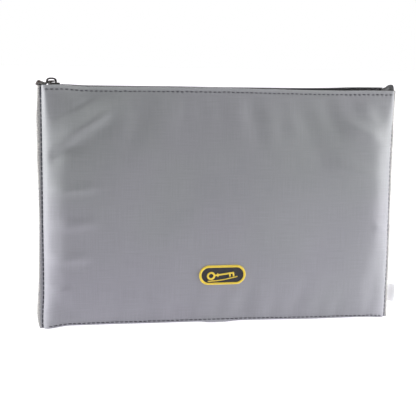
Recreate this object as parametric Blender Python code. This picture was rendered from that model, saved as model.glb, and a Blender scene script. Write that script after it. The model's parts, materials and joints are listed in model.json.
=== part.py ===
"""Zipped cash deposit bag: two puffed cloth walls sewn together along the sides and the bottom, and closed
along the top by a zip whose slider carries a pull tab.

The front of the bag faces -Y and the zip runs along X. The origin is on the ground under the middle of the
bag, and +Z is up. The slider stands at the closed end of the zip, which is at -X."""

import math

import bmesh
import bpy
import numpy as np

MM = 0.001

# Driving sizes
BAG_WIDTH = 350 * MM
HEM_TOP = 228 * MM  # height of the folded top edge of both walls
SEAM_MARGIN = 4.5 * MM  # cloth outside the row of stitches
CLOTH = 0.9 * MM
LINING = 0.5 * MM
TAPE = 0.5 * MM
THREAD = 0.6 * MM
GAP = 0.3 * MM  # air between two pieces that touch

SEAM_X = BAG_WIDTH / 2 - SEAM_MARGIN
LAYER_Y = 0.6 * MM  # middle of one wall's cloth where the two walls lie together
BELLY_DEPTH = 16 * MM
BELLY_HEIGHT = 0.42  # share of the wall's height
MOUTH_DEPTH = 7.8 * MM  # middle of the cloth at the hem
BOTTOM_DEPTH = 9.6 * MM
BOTTOM_Z = 3.2 * MM
CORNER_Z = 4.8 * MM
GROUND_Z = CLOTH / 2

# Zip
TAPE_Z = 226.35 * MM
COIL_BASE = TAPE_Z + TAPE / 2 + GAP
COIL_HEIGHT = 2.6 * MM
COIL_HALF_WIDTH = 3.0 * MM
TOOTH_PITCH = 3.2 * MM
TOOTH_WIDTH = 1.2 * MM
TOOTH_REACH = 0.45 * MM  # past the middle of the zip
TOOTH_ROOT = 0.75 * MM
COIL_LEFT = -166.0 * MM
COIL_RIGHT = 163.0 * MM
SPREAD = 1.45 * MM  # how far each coil stands out beside the slider's wedge

# Slider, in its own frame: the nose points along -X
SLIDER_X = -158.5 * MM
SLIDER_LENGTH = 14 * MM
PLATE = 1.1 * MM
NOSE_HALF = 5.6 * MM
TAIL_HALF = 4.4 * MM
FLANGE_WALL = 0.85 * MM
TOP_PLATE_Z = COIL_BASE + COIL_HEIGHT + 0.4 * MM
BOTTOM_PLATE_Z = TAPE_Z - TAPE / 2 - 0.8 * MM - PLATE
CROWN_LENGTH = 9 * MM
CROWN_HEIGHT = 4.6 * MM
CROWN_BAR = 1.5 * MM
CROWN_HALF = 1.0 * MM
CROWN_X = -1.5 * MM  # middle of the crown, measured from the slider's middle

# Pull tab, measured from its pivot
TAB_LENGTH = 17 * MM
TAB_THICKNESS = 1.2 * MM
TAB_DROOP = math.radians(6)
PIVOT_X = SLIDER_X + CROWN_X
PIVOT_Z = TOP_PLATE_Z + PLATE + 1.3 * MM

# Badge on the front wall
BADGE_X = -0.6 * MM
BADGE_Z = 49.8 * MM
BADGE_WIDTH = 46.5 * MM
BADGE_HEIGHT = 20 * MM
BADGE_RIM = 2.2 * MM

LABEL_Z = (16 * MM, 34 * MM)
LABEL_REACH = 7 * MM
STITCH_Z = HEM_TOP - 4.2 * MM
SEAM_STITCH_X = SEAM_X + 0.9 * MM


# Shapes of the walls ---------------------------------------------------------


def smooth(t):
    """0 before t = 0, 1 after t = 1, and an S between them."""
    t = np.clip(t, 0, 1)
    return t * t * (3 - 2 * t)


def side_fullness(s, h):
    """How full the bag is at share s of the way from its middle to a side seam, from 1 down to 0 at the seam.
    The mouth stays wide nearer to the seam than the belly does."""
    s = np.abs(np.asarray(s, float))
    body = np.sqrt(1 - np.clip((s - 0.62) / 0.38, 0, 1) ** 6)
    mouth = np.sqrt(1 - np.clip((s - 0.93) / 0.07, 0, 1) ** 8)
    share = smooth((np.asarray(h, float) - 0.8) / 0.2)
    return body + (mouth - body) * share


def wall_depth(h):
    """Distance of a wall's cloth from the middle plane of the bag, at share h of its height."""
    h = np.asarray(h, float)
    low = BOTTOM_DEPTH + (BELLY_DEPTH - BOTTOM_DEPTH) * np.sin(
        math.pi / 2 * np.clip(h / BELLY_HEIGHT, 0, 1)
    ) ** 0.8
    high = MOUTH_DEPTH + (BELLY_DEPTH - MOUTH_DEPTH) * np.cos(
        math.pi / 2 * np.clip((h - BELLY_HEIGHT) / (1 - BELLY_HEIGHT), 0, 1)
    )
    return np.where(h < BELLY_HEIGHT, low, high)


def wall_point(s, h):
    """(x, depth, z) of the middle of a wall's cloth."""
    full = side_fullness(s, h)
    low = CORNER_Z + (BOTTOM_Z - CORNER_Z) * full
    depth = LAYER_Y + (wall_depth(h) - LAYER_Y) * full
    return SEAM_X * np.asarray(s, float), depth, low + np.asarray(h, float) * (HEM_TOP - low)


def side_shares(count):
    """Shares from -1 to 1, closer together near the seams."""
    return np.sin(np.linspace(-math.pi / 2, math.pi / 2, count))


def panel_rows(s, heights, bottom):
    """Rows of points (x, depth, z) across the bag: first the bottom rows, each given as its place in the middle
    of the bag and its height at a corner, then the wall up to the hem."""
    x = SEAM_X * s
    rows = []
    for depth, z, corner_z in bottom:
        # What crosses under the bag draws back sooner, so that it stays clear of the other wall
        full = side_fullness(s, 0) ** (1.8 if depth < 0 else 1.0)
        rows.append((x, LAYER_Y + (depth - LAYER_Y) * full, corner_z + (z - corner_z) * full))
    for h in heights:
        rows.append(wall_point(s, np.full_like(s, h)))
    return np.array(rows).transpose(0, 2, 1)


def with_margins(rows):
    """The same rows with the seam margin added past each side seam."""
    left, right = rows[:, :1].copy(), rows[:, -1:].copy()
    left[..., 0] -= SEAM_MARGIN
    right[..., 0] += SEAM_MARGIN
    return np.concatenate([left, rows, right], axis=1)


def facing(rows, side):
    """Turns depth into Y: side -1 is the front wall and side 1 the back wall."""
    rows = rows.copy()
    rows[..., 1] *= side
    return rows


def normals_of(rows):
    """Unit normals of a grid of points, pointing the way that Blender's faces on it do."""
    across, up = np.gradient(rows, axis=1), np.gradient(rows, axis=0)
    normal = np.cross(across, up)
    return normal / np.linalg.norm(normal, axis=2, keepdims=True)


# Building blocks -------------------------------------------------------------


def clear_scene():
    for obj in list(bpy.data.objects):
        bpy.data.objects.remove(obj)


def material(name, color, roughness, metallic=0.0):
    made = bpy.data.materials.new(name)
    made.use_nodes = True
    shader = made.node_tree.nodes["Principled BSDF"]
    shader.inputs["Base Color"].default_value = (*color, 1)
    shader.inputs["Roughness"].default_value = roughness
    shader.inputs["Metallic"].default_value = metallic
    return made


def empty(name, location, parent=None):
    made = bpy.data.objects.new(name, None)
    bpy.context.collection.objects.link(made)
    made.location = location
    if parent:
        made.parent = parent
        made.location = made.location - parent.location
    return made


def place(name, mesh, finish, parent):
    """Adds the object at the world's origin of its parent, so that its mesh can be in world places."""
    made = bpy.data.objects.new(name, mesh)
    mesh.materials.append(finish)
    bpy.context.collection.objects.link(made)
    made.parent = parent
    made.location = -parent.location
    if parent.parent:
        made.location = made.location - parent.parent.location
    return made


def mesh_of(name, points, faces):
    mesh = bpy.data.meshes.new(name)
    mesh.from_pydata([tuple(p) for p in points], [], faces)
    mesh.update()
    return mesh


def sheet(name, rows, thickness, finish, parent):
    """A sheet of even thickness around a grid of points."""
    high, wide = rows.shape[:2]
    faces = [
        (r * wide + c, r * wide + c + 1, (r + 1) * wide + c + 1, (r + 1) * wide + c)
        for r in range(high - 1)
        for c in range(wide - 1)
    ]
    mesh = mesh_of(name, rows.reshape(-1, 3), faces)
    mesh.shade_smooth()
    made = place(name, mesh, finish, parent)
    solid = made.modifiers.new("Solidify", "SOLIDIFY")
    solid.thickness = thickness
    solid.offset = 0
    return made


def slab(name, outline, low, high, axis, finish, parent, hidden=False):
    """A flat outline, pushed out from low to high along an axis. The outline's two numbers are the other two
    axes, in X, Y, Z order."""
    shape = bmesh.new()
    ring = []
    for a, b in outline:
        spot = [a, b]
        spot.insert("XYZ".index(axis), low)
        ring.append(shape.verts.new(spot))
    face = shape.faces.new(ring)
    pushed = bmesh.ops.extrude_face_region(shape, geom=[face])
    moved = [v for v in pushed["geom"] if isinstance(v, bmesh.types.BMVert)]
    step = [0, 0, 0]
    step["XYZ".index(axis)] = high - low
    bmesh.ops.translate(shape, verts=moved, vec=step)
    bmesh.ops.recalc_face_normals(shape, faces=shape.faces)
    mesh = bpy.data.meshes.new(name)
    shape.to_mesh(mesh)
    shape.free()
    made = place(name, mesh, finish, parent)
    if hidden:
        made.hide_render = True
        made.display_type = "WIRE"
    return made


def boolean(target, others, operation):
    for other in others:
        step = target.modifiers.new(other.name, "BOOLEAN")
        step.operation = operation
        step.solver = "EXACT"
        step.object = other


def stadium(cx, cz, width, height, steps=12):
    """Outline with straight top and bottom and half-round ends."""
    r = height / 2
    outline = []
    for side in (1, -1):
        for k in range(steps + 1):
            a = math.pi * k / steps - math.pi / 2
            outline.append((cx + side * (width / 2 - r + r * math.cos(a)), cz + side * r * math.sin(a)))
    return outline


def thread_row(name, path, out, finish, parent):
    """A row of stitches as one thread of square section along a path of points, standing clear of the cloth
    along out, which is one direction per point."""
    path, out = np.array(path), np.array(out)
    along = np.gradient(path, axis=0)
    along /= np.linalg.norm(along, axis=1, keepdims=True)
    across = np.cross(along, out)
    across /= np.linalg.norm(across, axis=1, keepdims=True)
    near = path + out * (CLOTH / 2 + GAP)
    far = near + out * THREAD
    half = across * THREAD / 2
    rings = np.stack([near - half, near + half, far + half, far - half], axis=1)
    count = len(path)
    faces = [
        tuple(4 * i + k for k in (j, (j + 1) % 4)) + tuple(4 * (i + 1) + k for k in ((j + 1) % 4, j))
        for i in range(count - 1)
        for j in range(4)
    ]
    faces += [(3, 2, 1, 0), tuple(4 * (count - 1) + k for k in range(4))]
    mesh = mesh_of(name, rings.reshape(-1, 3), faces)
    shape = bmesh.new()
    shape.from_mesh(mesh)
    bmesh.ops.recalc_face_normals(shape, faces=shape.faces)
    shape.to_mesh(mesh)
    shape.free()
    return place(name, mesh, finish, parent)


# Parts of the bag ------------------------------------------------------------

HEIGHTS = np.linspace(0, 1, 14) ** 1.2
# Middle of the front wall's cloth under the bag: (depth, height in the middle of the bag, height at a corner).
# Its margin is turned back under the bag.
FRONT_TURN = [
    (4.8 * MM, GROUND_Z, GROUND_Z),
    (8.0 * MM, GROUND_Z, 2.2 * MM),
    (9.2 * MM, 1.4 * MM, 3.4 * MM),
]
# The back wall runs under the bag to the front seam, over the front wall's margin and then down to the ground.
BACK_TURN = [
    (-7.6 * MM, 2.15 * MM, 2.6 * MM),
    (-4.2 * MM, 2.15 * MM, 3.1 * MM),
    (-1.4 * MM, GROUND_Z, 3.6 * MM),
    (6.4 * MM, GROUND_Z, 4.0 * MM),
    (8.9 * MM, 1.3 * MM, 4.4 * MM),
]


def make_panels(cloth, bag, front):
    s = side_shares(25)
    rows = facing(with_margins(panel_rows(s, HEIGHTS, FRONT_TURN)), -1)
    sheet("front_panel", rows, CLOTH, cloth, front)
    rows = facing(with_margins(panel_rows(s, HEIGHTS, BACK_TURN)), 1)
    sheet("back_panel", rows[:, ::-1], CLOTH, cloth, bag)


def make_linings(lining, bag, front):
    """The linings hang inside the walls, sewn in at the hem."""
    inset = CLOTH / 2 + GAP + LINING / 2 + 0.1 * MM
    rows = panel_rows(side_shares(25), HEIGHTS, [])
    for name, side, parent in (("front_lining", -1, front), ("back_lining", 1, bag)):
        wall = facing(rows, side)
        if side > 0:
            wall = wall[:, ::-1]
        hung = (wall - normals_of(wall) * inset)[1:-1, 1:-1]
        sheet(name, hung, LINING, lining, parent)


def make_tapes(tape, bag, front):
    """Each tape lies flat beside its coil and turns down inside the hem, narrowing with the mouth at its ends."""
    section = [
        (0.9 * MM, TAPE_Z),
        (5.7 * MM, TAPE_Z),
        (6.25 * MM, TAPE_Z - 0.9 * MM),
        (6.35 * MM, 219 * MM),
        (6.5 * MM, 213.5 * MM),
    ]
    s = side_shares(15) * 0.972
    full = side_fullness(s, 1)
    for name, side, parent in (("zip_tape_front", -1, front), ("zip_tape_back", 1, bag)):
        rows = np.array([[(SEAM_X * t, side * y * f, z) for t, f in zip(s, full)] for y, z in section])
        sheet(name, rows if side < 0 else rows[:, ::-1], TAPE, tape, parent)


def coil_spread(x):
    """How far a coil stands out from its closed place, at rest: the two part around the slider's wedge."""
    return SPREAD * float(smooth((SLIDER_X - 0.5 * MM - x) / (4.5 * MM)))


def coil_outline(side):
    """Plan of one half of the zip: a spine with square teeth that fit between the other half's teeth."""
    outline = [
        (x, side * (COIL_HALF_WIDTH + coil_spread(x)))
        for x in (COIL_RIGHT, -156 * MM, -159 * MM, -160.5 * MM, -162 * MM, -163.5 * MM, COIL_LEFT)
    ]
    first = COIL_LEFT + 1.2 * MM + (TOOTH_PITCH / 2 if side > 0 else 0)
    count = int((COIL_RIGHT - 1.0 * MM - first) / TOOTH_PITCH)
    outline.append((COIL_LEFT, side * (TOOTH_ROOT + coil_spread(COIL_LEFT))))
    for k in range(count + 1):
        x = first + k * TOOTH_PITCH
        for edge, y in ((x, TOOTH_ROOT), (x, -TOOTH_REACH), (x + TOOTH_WIDTH, -TOOTH_REACH), (x + TOOTH_WIDTH, TOOTH_ROOT)):
            outline.append((edge, side * (y + coil_spread(x + TOOTH_WIDTH / 2))))
    outline.append((COIL_RIGHT, side * TOOTH_ROOT))
    return outline


def make_coils(coil, bag, front):
    for name, side, parent in (("zip_coil_front", -1, front), ("zip_coil_back", 1, bag)):
        slab(name, coil_outline(side), COIL_BASE, COIL_BASE + COIL_HEIGHT, "Z", coil, parent)


def make_stops(metal, bag, front):
    """A stop on each coil at the closed end, and one across both at the open end."""
    left = COIL_LEFT - GAP
    for name, side, parent in (("zip_top_stop_front", -1, front), ("zip_top_stop_back", 1, bag)):
        inner, outer = side * 1.2 * MM, side * 3.4 * MM
        outline = [(left - 2 * MM, inner), (left, inner), (left, outer), (left - 2 * MM, outer)]
        slab(name, outline, COIL_BASE, COIL_BASE + 2.2 * MM, "Z", metal, parent)
    right = COIL_RIGHT + GAP
    outline = [(right, -2.4 * MM), (right + 2.2 * MM, -2.4 * MM), (right + 2.2 * MM, 2.4 * MM), (right, 2.4 * MM)]
    slab("zip_bottom_stop", outline, COIL_BASE, COIL_BASE + 2.4 * MM, "Z", metal, bag)


def make_slider(metal, slider):
    nose, tail = SLIDER_X - SLIDER_LENGTH / 2, SLIDER_X + SLIDER_LENGTH / 2
    shoulder = nose + 3.4 * MM
    plan = [
        (nose, -4.4 * MM),
        (nose + 1.0 * MM, -5.3 * MM),
        (shoulder, -NOSE_HALF),
        (tail - 0.8 * MM, -TAIL_HALF),
        (tail, -TAIL_HALF + 0.8 * MM),
    ]
    plan += [(x, -y) for x, y in reversed(plan)]
    top = TOP_PLATE_Z + PLATE
    body = slab("slider_body", plan, TOP_PLATE_Z, top, "Z", metal, slider)
    base = slab("slider_base", plan, BOTTOM_PLATE_Z, BOTTOM_PLATE_Z + PLATE, "Z", metal, slider, True)
    wedge_plan = [(nose + 0.3 * MM, -0.7 * MM), (nose + 2 * MM, -0.7 * MM), (nose + 3.6 * MM, -0.2 * MM)]
    wedge_plan += [(x, -y) for x, y in reversed(wedge_plan)]
    overlap = 0.4 * MM
    wedge = slab(
        "slider_wedge",
        wedge_plan,
        BOTTOM_PLATE_Z + PLATE - overlap,
        TOP_PLATE_Z + overlap,
        "Z",
        metal,
        slider,
        True,
    )
    rims = []
    for side in (-1, 1):
        rim_plan = [
            (nose + 1.2 * MM, side * 5.3 * MM),
            (shoulder, side * (NOSE_HALF - 0.02 * MM)),
            (tail - 0.9 * MM, side * (TAIL_HALF - 0.02 * MM)),
            (tail - 0.9 * MM, side * (TAIL_HALF - FLANGE_WALL)),
            (shoulder, side * (NOSE_HALF - FLANGE_WALL)),
            (nose + 1.2 * MM, side * (5.4 * MM - FLANGE_WALL)),
        ]
        low = TAPE_Z + TAPE / 2 + 0.4 * MM
        rims.append(slab(f"slider_rim_{side}", rim_plan, low, TOP_PLATE_Z + overlap, "Z", metal, slider, True))
    middle = SLIDER_X + CROWN_X
    outer_x, outer_z = CROWN_LENGTH / 2, CROWN_HEIGHT
    inner_x, inner_z = outer_x - CROWN_BAR, CROWN_HEIGHT - CROWN_BAR * 0.93
    steps = 10
    arch = [(middle + outer_x, top - overlap)]
    for k in range(steps + 1):
        a = math.pi * k / steps
        arch.append(
            (
                middle + outer_x * math.copysign(abs(math.cos(a)) ** 0.7, math.cos(a)),
                top + outer_z * math.sin(a) ** 0.6,
            )
        )
    arch.append((middle - outer_x, top - overlap))
    arch.append((middle - inner_x, top - overlap))
    for k in range(steps + 1):
        a = math.pi * (1 - k / steps)
        arch.append(
            (
                middle + inner_x * math.copysign(abs(math.cos(a)) ** 0.7, math.cos(a)),
                top + inner_z * math.sin(a) ** 0.6,
            )
        )
    arch.append((middle + inner_x, top - overlap))
    crown = slab("slider_crown", arch, -CROWN_HALF, CROWN_HALF, "Y", metal, slider, True)
    boolean(body, [crown, wedge, base, *rims], "UNION")


def make_pull_tab(metal, tab):
    """A flat tab whose end bar passes under the crown. It is made along -X from its pivot and then tilted."""
    bar = 0.7 * MM
    outline = [
        (bar, -2.3 * MM),
        (-6.2 * MM, -2.3 * MM),
        (-8.2 * MM, -2.0 * MM),
    ]
    tip_r = 3.3 * MM
    tip_x = -TAB_LENGTH + tip_r
    arc = []
    for k in range(15):
        a = math.radians(110) - math.radians(220) * k / 14
        arc.append((tip_x - tip_r * math.cos(a), tip_r * math.sin(a)))
    outline += [(x, -y) for x, y in arc]
    outline += [(-8.2 * MM, 2.0 * MM), (-6.2 * MM, 2.3 * MM), (bar, 2.3 * MM)]
    half = TAB_THICKNESS / 2
    made = slab("pull_tab", outline, -half, half, "Z", metal, tab)
    window = [
        (-bar, -1.3 * MM),
        (-5.3 * MM, -1.3 * MM),
        (-5.3 * MM, 1.3 * MM),
        (-bar, 1.3 * MM),
    ]
    cut = slab("tab_window", window, -2 * half, 2 * half, "Z", metal, tab, True)
    ring = [
        (tip_x + 1.6 * MM * math.cos(2 * math.pi * k / 16), 1.6 * MM * math.sin(2 * math.pi * k / 16))
        for k in range(16)
    ]
    hole = slab("tab_hole", ring, -2 * half, 2 * half, "Z", metal, tab, True)
    boolean(made, [cut, hole], "DIFFERENCE")
    for obj in (made, cut, hole):
        obj.location = (0, 0, 0)
        obj.rotation_euler = (0, -TAB_DROOP, 0)


def surface_y(x, z):
    """Outer face of the front wall at a place on it."""
    h = (z - BOTTOM_Z) / (HEM_TOP - BOTTOM_Z)
    return -(float(wall_point(x / SEAM_X, h)[1]) + CLOTH / 2)


def make_badge(black, yellow, front):
    """A sewn badge: a twill backing, a raised rim, and a key in satin stitch, each lying on the one below."""
    back = min(surface_y(BADGE_X, BADGE_Z + k * BADGE_HEIGHT / 2) for k in (-1, 0, 1)) - GAP
    backing = 0.7 * MM
    slab(
        "badge_backing",
        stadium(BADGE_X, BADGE_Z, BADGE_WIDTH - 2 * BADGE_RIM - 2 * GAP, BADGE_HEIGHT - 2 * BADGE_RIM - 2 * GAP),
        back - backing,
        back,
        "Y",
        black,
        front,
    )
    rim_high = 1.3 * MM
    rim = slab(
        "badge_rim", stadium(BADGE_X, BADGE_Z, BADGE_WIDTH, BADGE_HEIGHT), back - rim_high, back, "Y", yellow, front
    )
    inside = stadium(BADGE_X, BADGE_Z, BADGE_WIDTH - 2 * BADGE_RIM, BADGE_HEIGHT - 2 * BADGE_RIM)
    cutter = slab("badge_rim_inside", inside, back - 2 * rim_high, back + rim_high, "Y", yellow, front, True)
    boolean(rim, [cutter], "DIFFERENCE")
    key_back = back - backing - GAP
    key_front = key_back - 0.6 * MM
    shaft_z = 1.1 * MM
    key = [(BADGE_X - 6 * MM, BADGE_Z - shaft_z), (BADGE_X + 8 * MM, BADGE_Z - shaft_z)]
    for x in (8.0, 12.0):
        key += [(BADGE_X + x * MM, BADGE_Z - 4 * MM), (BADGE_X + (x + 2) * MM, BADGE_Z - 4 * MM)]
        key += [(BADGE_X + (x + 2) * MM, BADGE_Z - shaft_z)]
        key += [(BADGE_X + (x + 4) * MM, BADGE_Z - shaft_z)] if x < 12 else []
    key += [(BADGE_X + 14 * MM, BADGE_Z + shaft_z), (BADGE_X - 6 * MM, BADGE_Z + shaft_z)]
    bow_x, bow_r = BADGE_X - 10 * MM, 5 * MM
    start = math.asin(shaft_z / bow_r)
    for k in range(17):
        a = start + (2 * math.pi - 2 * start) * k / 16
        key.append((bow_x + bow_r * math.cos(a), BADGE_Z + bow_r * math.sin(a)))
    motif = slab("badge_motif", key, key_front, key_back, "Y", yellow, front)
    hole = [
        (bow_x + 2.6 * MM * math.cos(2 * math.pi * k / 12), BADGE_Z + 2.6 * MM * math.sin(2 * math.pi * k / 12))
        for k in range(12)
    ]
    bow_hole = slab("badge_motif_hole", hole, key_front - MM, key_back + MM, "Y", yellow, front, True)
    boolean(motif, [bow_hole], "DIFFERENCE")


def make_stitching(thread, bag, front):
    s = side_shares(13) * 0.955
    h = (STITCH_Z - BOTTOM_Z) / (HEM_TOP - BOTTOM_Z)
    x, depth, z = wall_point(s, np.full_like(s, h))
    for name, side, parent in (("top_stitching_front", -1, front), ("top_stitching_back", 1, bag)):
        path = np.stack([x, side * depth, z], axis=1)
        thread_row(name, path, np.tile((0.0, side, 0.0), (len(path), 1)), thread, parent)
    for side_name, x_side in (("left", -1), ("right", 1)):
        for name, side, parent in (("front", -1, front), ("back", 1, bag)):
            path = [(x_side * SEAM_STITCH_X, side * LAYER_Y, z) for z in (7 * MM, 115 * MM, HEM_TOP - 2 * MM)]
            out = np.tile((0.0, side, 0.0), (3, 1))
            thread_row(f"side_stitching_{name}_{side_name}", path, out, thread, parent)
    s = side_shares(15) * 0.96
    x, depth, z = wall_point(s, np.zeros_like(s))
    path = np.stack([x, -depth, z], axis=1)
    out = np.tile((0.0, -1.0, 0.0), (len(path), 1))
    thread_row("bottom_stitching", path, out, thread, front)


def make_label(satin, bag):
    x = BAG_WIDTH / 2 + GAP
    half = 0.5 * MM
    low, high = LABEL_Z
    outline = [(x, -half), (x + LABEL_REACH - half, -half), (x + LABEL_REACH, 0), (x + LABEL_REACH - half, half), (x, half)]
    slab("care_label", outline, low, high, "Z", satin, bag)


def main():
    clear_scene()
    cloth = material("grey_nylon", (0.30, 0.30, 0.32), 0.75)
    lining = material("grey_lining", (0.12, 0.12, 0.13), 0.7)
    tape = material("black_tape", (0.02, 0.02, 0.022), 0.85)
    coil = material("black_coil", (0.015, 0.015, 0.016), 0.4)
    metal = material("black_metal", (0.03, 0.03, 0.03), 0.35, 0.6)
    thread = material("black_thread", (0.02, 0.02, 0.025), 0.7)
    black = material("badge_black", (0.015, 0.015, 0.018), 0.8)
    yellow = material("badge_yellow", (0.85, 0.62, 0.06), 0.6)
    satin = material("white_satin", (0.85, 0.85, 0.85), 0.4)

    bag = empty("bag", (0, 0, 0))
    front = empty("front_wall", (0, -8.5 * MM, 1.0 * MM), bag)
    slider = empty("slider", (SLIDER_X, 0, TAPE_Z), bag)
    tab = empty("tab", (PIVOT_X, 0, PIVOT_Z), slider)

    make_panels(cloth, bag, front)
    make_linings(lining, bag, front)
    make_tapes(tape, bag, front)
    make_coils(coil, bag, front)
    make_stops(metal, bag, front)
    make_slider(metal, slider)
    make_pull_tab(metal, tab)
    make_badge(black, yellow, front)
    make_stitching(thread, bag, front)
    make_label(satin, bag)


main()
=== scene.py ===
"""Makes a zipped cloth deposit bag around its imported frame.

The front of the bag faces -Y, the zip runs along X and +Z is up, in metres. Every piece is a surface worked
out with numpy on a grid of two parameters, and is placed from the boxes of the frame's nodes."""

import json
import math

import bmesh
import bpy
import numpy as np
from bpy.props import FloatProperty, FloatVectorProperty, IntProperty, PointerProperty
from mathutils import Matrix, Vector


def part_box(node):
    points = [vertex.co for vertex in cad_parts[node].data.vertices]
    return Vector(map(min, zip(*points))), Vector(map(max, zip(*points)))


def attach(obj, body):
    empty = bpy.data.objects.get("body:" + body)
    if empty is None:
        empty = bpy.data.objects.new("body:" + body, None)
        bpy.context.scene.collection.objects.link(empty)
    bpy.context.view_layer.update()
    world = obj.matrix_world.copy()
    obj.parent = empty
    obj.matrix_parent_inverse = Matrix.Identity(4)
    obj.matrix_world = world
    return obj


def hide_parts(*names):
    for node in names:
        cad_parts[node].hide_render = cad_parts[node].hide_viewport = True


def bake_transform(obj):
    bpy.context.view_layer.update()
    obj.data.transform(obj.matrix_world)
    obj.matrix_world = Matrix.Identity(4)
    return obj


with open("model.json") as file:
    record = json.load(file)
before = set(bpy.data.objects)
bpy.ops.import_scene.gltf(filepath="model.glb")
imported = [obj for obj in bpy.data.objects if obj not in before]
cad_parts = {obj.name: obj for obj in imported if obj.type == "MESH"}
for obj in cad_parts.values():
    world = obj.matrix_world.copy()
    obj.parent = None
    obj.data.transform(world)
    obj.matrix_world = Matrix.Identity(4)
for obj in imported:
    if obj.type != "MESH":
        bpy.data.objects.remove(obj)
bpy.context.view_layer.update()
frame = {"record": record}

bl_info = {
    "name": "Deposit bag maker",
    "version": (1, 0, 0),
    "blender": (4, 5, 0),
    "location": "3D View > Sidebar > Deposit bag",
    "description": "Makes a zipped cloth deposit bag around its packed frame",
    "category": "Add Mesh",
}

MM = 0.001
_, PANEL_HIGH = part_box("front_panel")
SLIDER_LOW, SLIDER_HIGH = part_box("slider_body")
COIL_LOW, COIL_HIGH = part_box("zip_coil_back")
_, TAPE_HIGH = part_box("zip_tape_back")
TAB_LOW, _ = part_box("pull_tab")
RIM_LOW, RIM_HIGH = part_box("badge_rim")
LABEL_LOW, LABEL_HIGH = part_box("care_label")
STOP_LOW, STOP_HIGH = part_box("zip_bottom_stop")

MADE = {}  # the walls, once their cloth has settled


# Sizes and colours -----------------------------------------------------------


def length(name, default, description):
    return FloatProperty(name=name, description=description, default=default, unit="LENGTH", precision=5)


def angle(name, degrees, description):
    return FloatProperty(name=name, description=description, default=math.radians(degrees), subtype="ANGLE")


def colour(name, default, description):
    return FloatVectorProperty(
        name=name, description=description, default=default, size=3, min=0, max=1, subtype="COLOR"
    )


class BagSizes(bpy.types.PropertyGroup):
    seam_margin: length("Seam margin", 4.5 * MM, "Cloth outside the side seams")
    hem_top: length("Hem height", PANEL_HIGH.z, "Height of the folded top edge")
    cloth: length("Cloth thickness", 0.8 * MM, "Thickness of the outer cloth")
    lining: length("Lining thickness", 0.4 * MM, "Thickness of the lining")
    layer: length("Seam half gap", 0.6 * MM, "Middle of one wall's cloth where both walls are sewn together")
    belly: length("Belly depth", 16.0 * MM, "Furthest the cloth stands from the middle plane")
    mouth: length("Mouth depth", 8.0 * MM, "How far the hem stands from the middle plane")
    bottom: length("Bottom depth", 9.6 * MM, "How far the bottom seam stands from the middle plane")
    stitch: length("Stitch pitch", 4.5 * MM, "Distance from one stitch to the next")
    thread: length("Thread radius", 0.38 * MM, "Radius of the sewing thread")
    top_row: length("Top row depth", 2.9 * MM, "Distance of the top row of stitches below the hem's height")
    tooth: length("Tooth pitch", 1.62 * MM, "Distance from one turn of a zip coil to the next")
    slack: FloatProperty(
        name="Slack", description="Share of spare cloth that wrinkles", default=0.009, min=0, max=0.05
    )
    settle_steps: IntProperty(
        name="Settling steps", description="Steps of the cloth simulation", default=26, min=5
    )


class BagColours(bpy.types.PropertyGroup):
    cloth: colour("Cloth", (0.262, 0.264, 0.281), "Coated nylon")
    margin_highlight_tone: colour("Margin highlight", (0.5, 0.49, 0.46), "Painted highlight on the seam margins")
    lining: colour("Lining", (0.075, 0.075, 0.082), "Inside of the bag")
    tape: colour("Zip tape", (0.04, 0.04, 0.042), "Woven tape of the zip")
    coil: colour("Zip coil", (0.03, 0.03, 0.031), "Nylon coil of the zip")
    metal: colour("Lacquered metal", (0.022, 0.021, 0.02), "Slider and pull tab")
    worn_metal: colour("Worn metal", (0.13, 0.075, 0.055), "Metal where the lacquer has worn off")
    thread: colour("Thread", (0.012, 0.013, 0.026), "Sewing thread")
    badge_back: colour("Badge backing", (0.013, 0.013, 0.016), "Twill of the badge")
    badge_thread: colour("Badge thread", (1.0, 0.76, 0.07), "Embroidery of the badge")
    label: colour("Label", (0.86, 0.86, 0.87), "Satin ribbon of the label")


class StageSet(bpy.types.PropertyGroup):
    turn: angle("Camera turn", 13.2, "Turn round the bag")
    tilt: angle("Camera tilt", 7.05, "Tilt down")
    roll: angle("Camera roll", 0.91, "Turn about the camera's own line of sight")
    distance: length("Camera distance", 1.1546, "Distance from the camera to what it looks at")
    aim_x: length("Aim across", -0.0119, "Place across the bag that the camera looks at")
    aim_z: length("Aim height", 0.1124, "Height that the camera looks at")
    lens: FloatProperty(name="Lens", description="Focal length in millimetres", default=103.8, min=1)


def sizes():
    return bpy.context.scene.bag_sizes


def colours():
    return bpy.context.scene.bag_colours


# Numbers ---------------------------------------------------------------------


def smooth(t):
    """0 before t = 0, 1 after t = 1, and an S between them."""
    t = np.clip(t, 0, 1)
    return t * t * (3 - 2 * t)


def unit(v):
    return v / np.maximum(np.linalg.norm(v, axis=-1, keepdims=True), 1e-12)


def table_curve(x, table, blur=9.0):
    """A soft curve through a table of (place, value) pairs in millimetres: straight lines, blurred over a
    width."""
    places, values = np.array(table, float).T * MM
    x = np.asarray(x, float)
    shifts = np.linspace(-blur, blur, 13) * MM
    weights = np.cos(shifts / (1.2 * blur * MM) * math.pi / 2) ** 2
    total = sum(w * np.interp(x + d, places, values) for d, w in zip(shifts, weights))
    return total / weights.sum()


def signed_power(value, power):
    """A power of the size of a value, with the value's sign."""
    return np.sign(value) * np.abs(value) ** power


def cubic(a, b, c, e, f):
    """A cubic through b and c, at share f of the way between them, that also follows their neighbours a and
    e."""
    return b + 0.5 * f * (c - a + f * (2 * a - 5 * b + 4 * c - e + f * (3 * (b - c) + e - a)))


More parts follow.
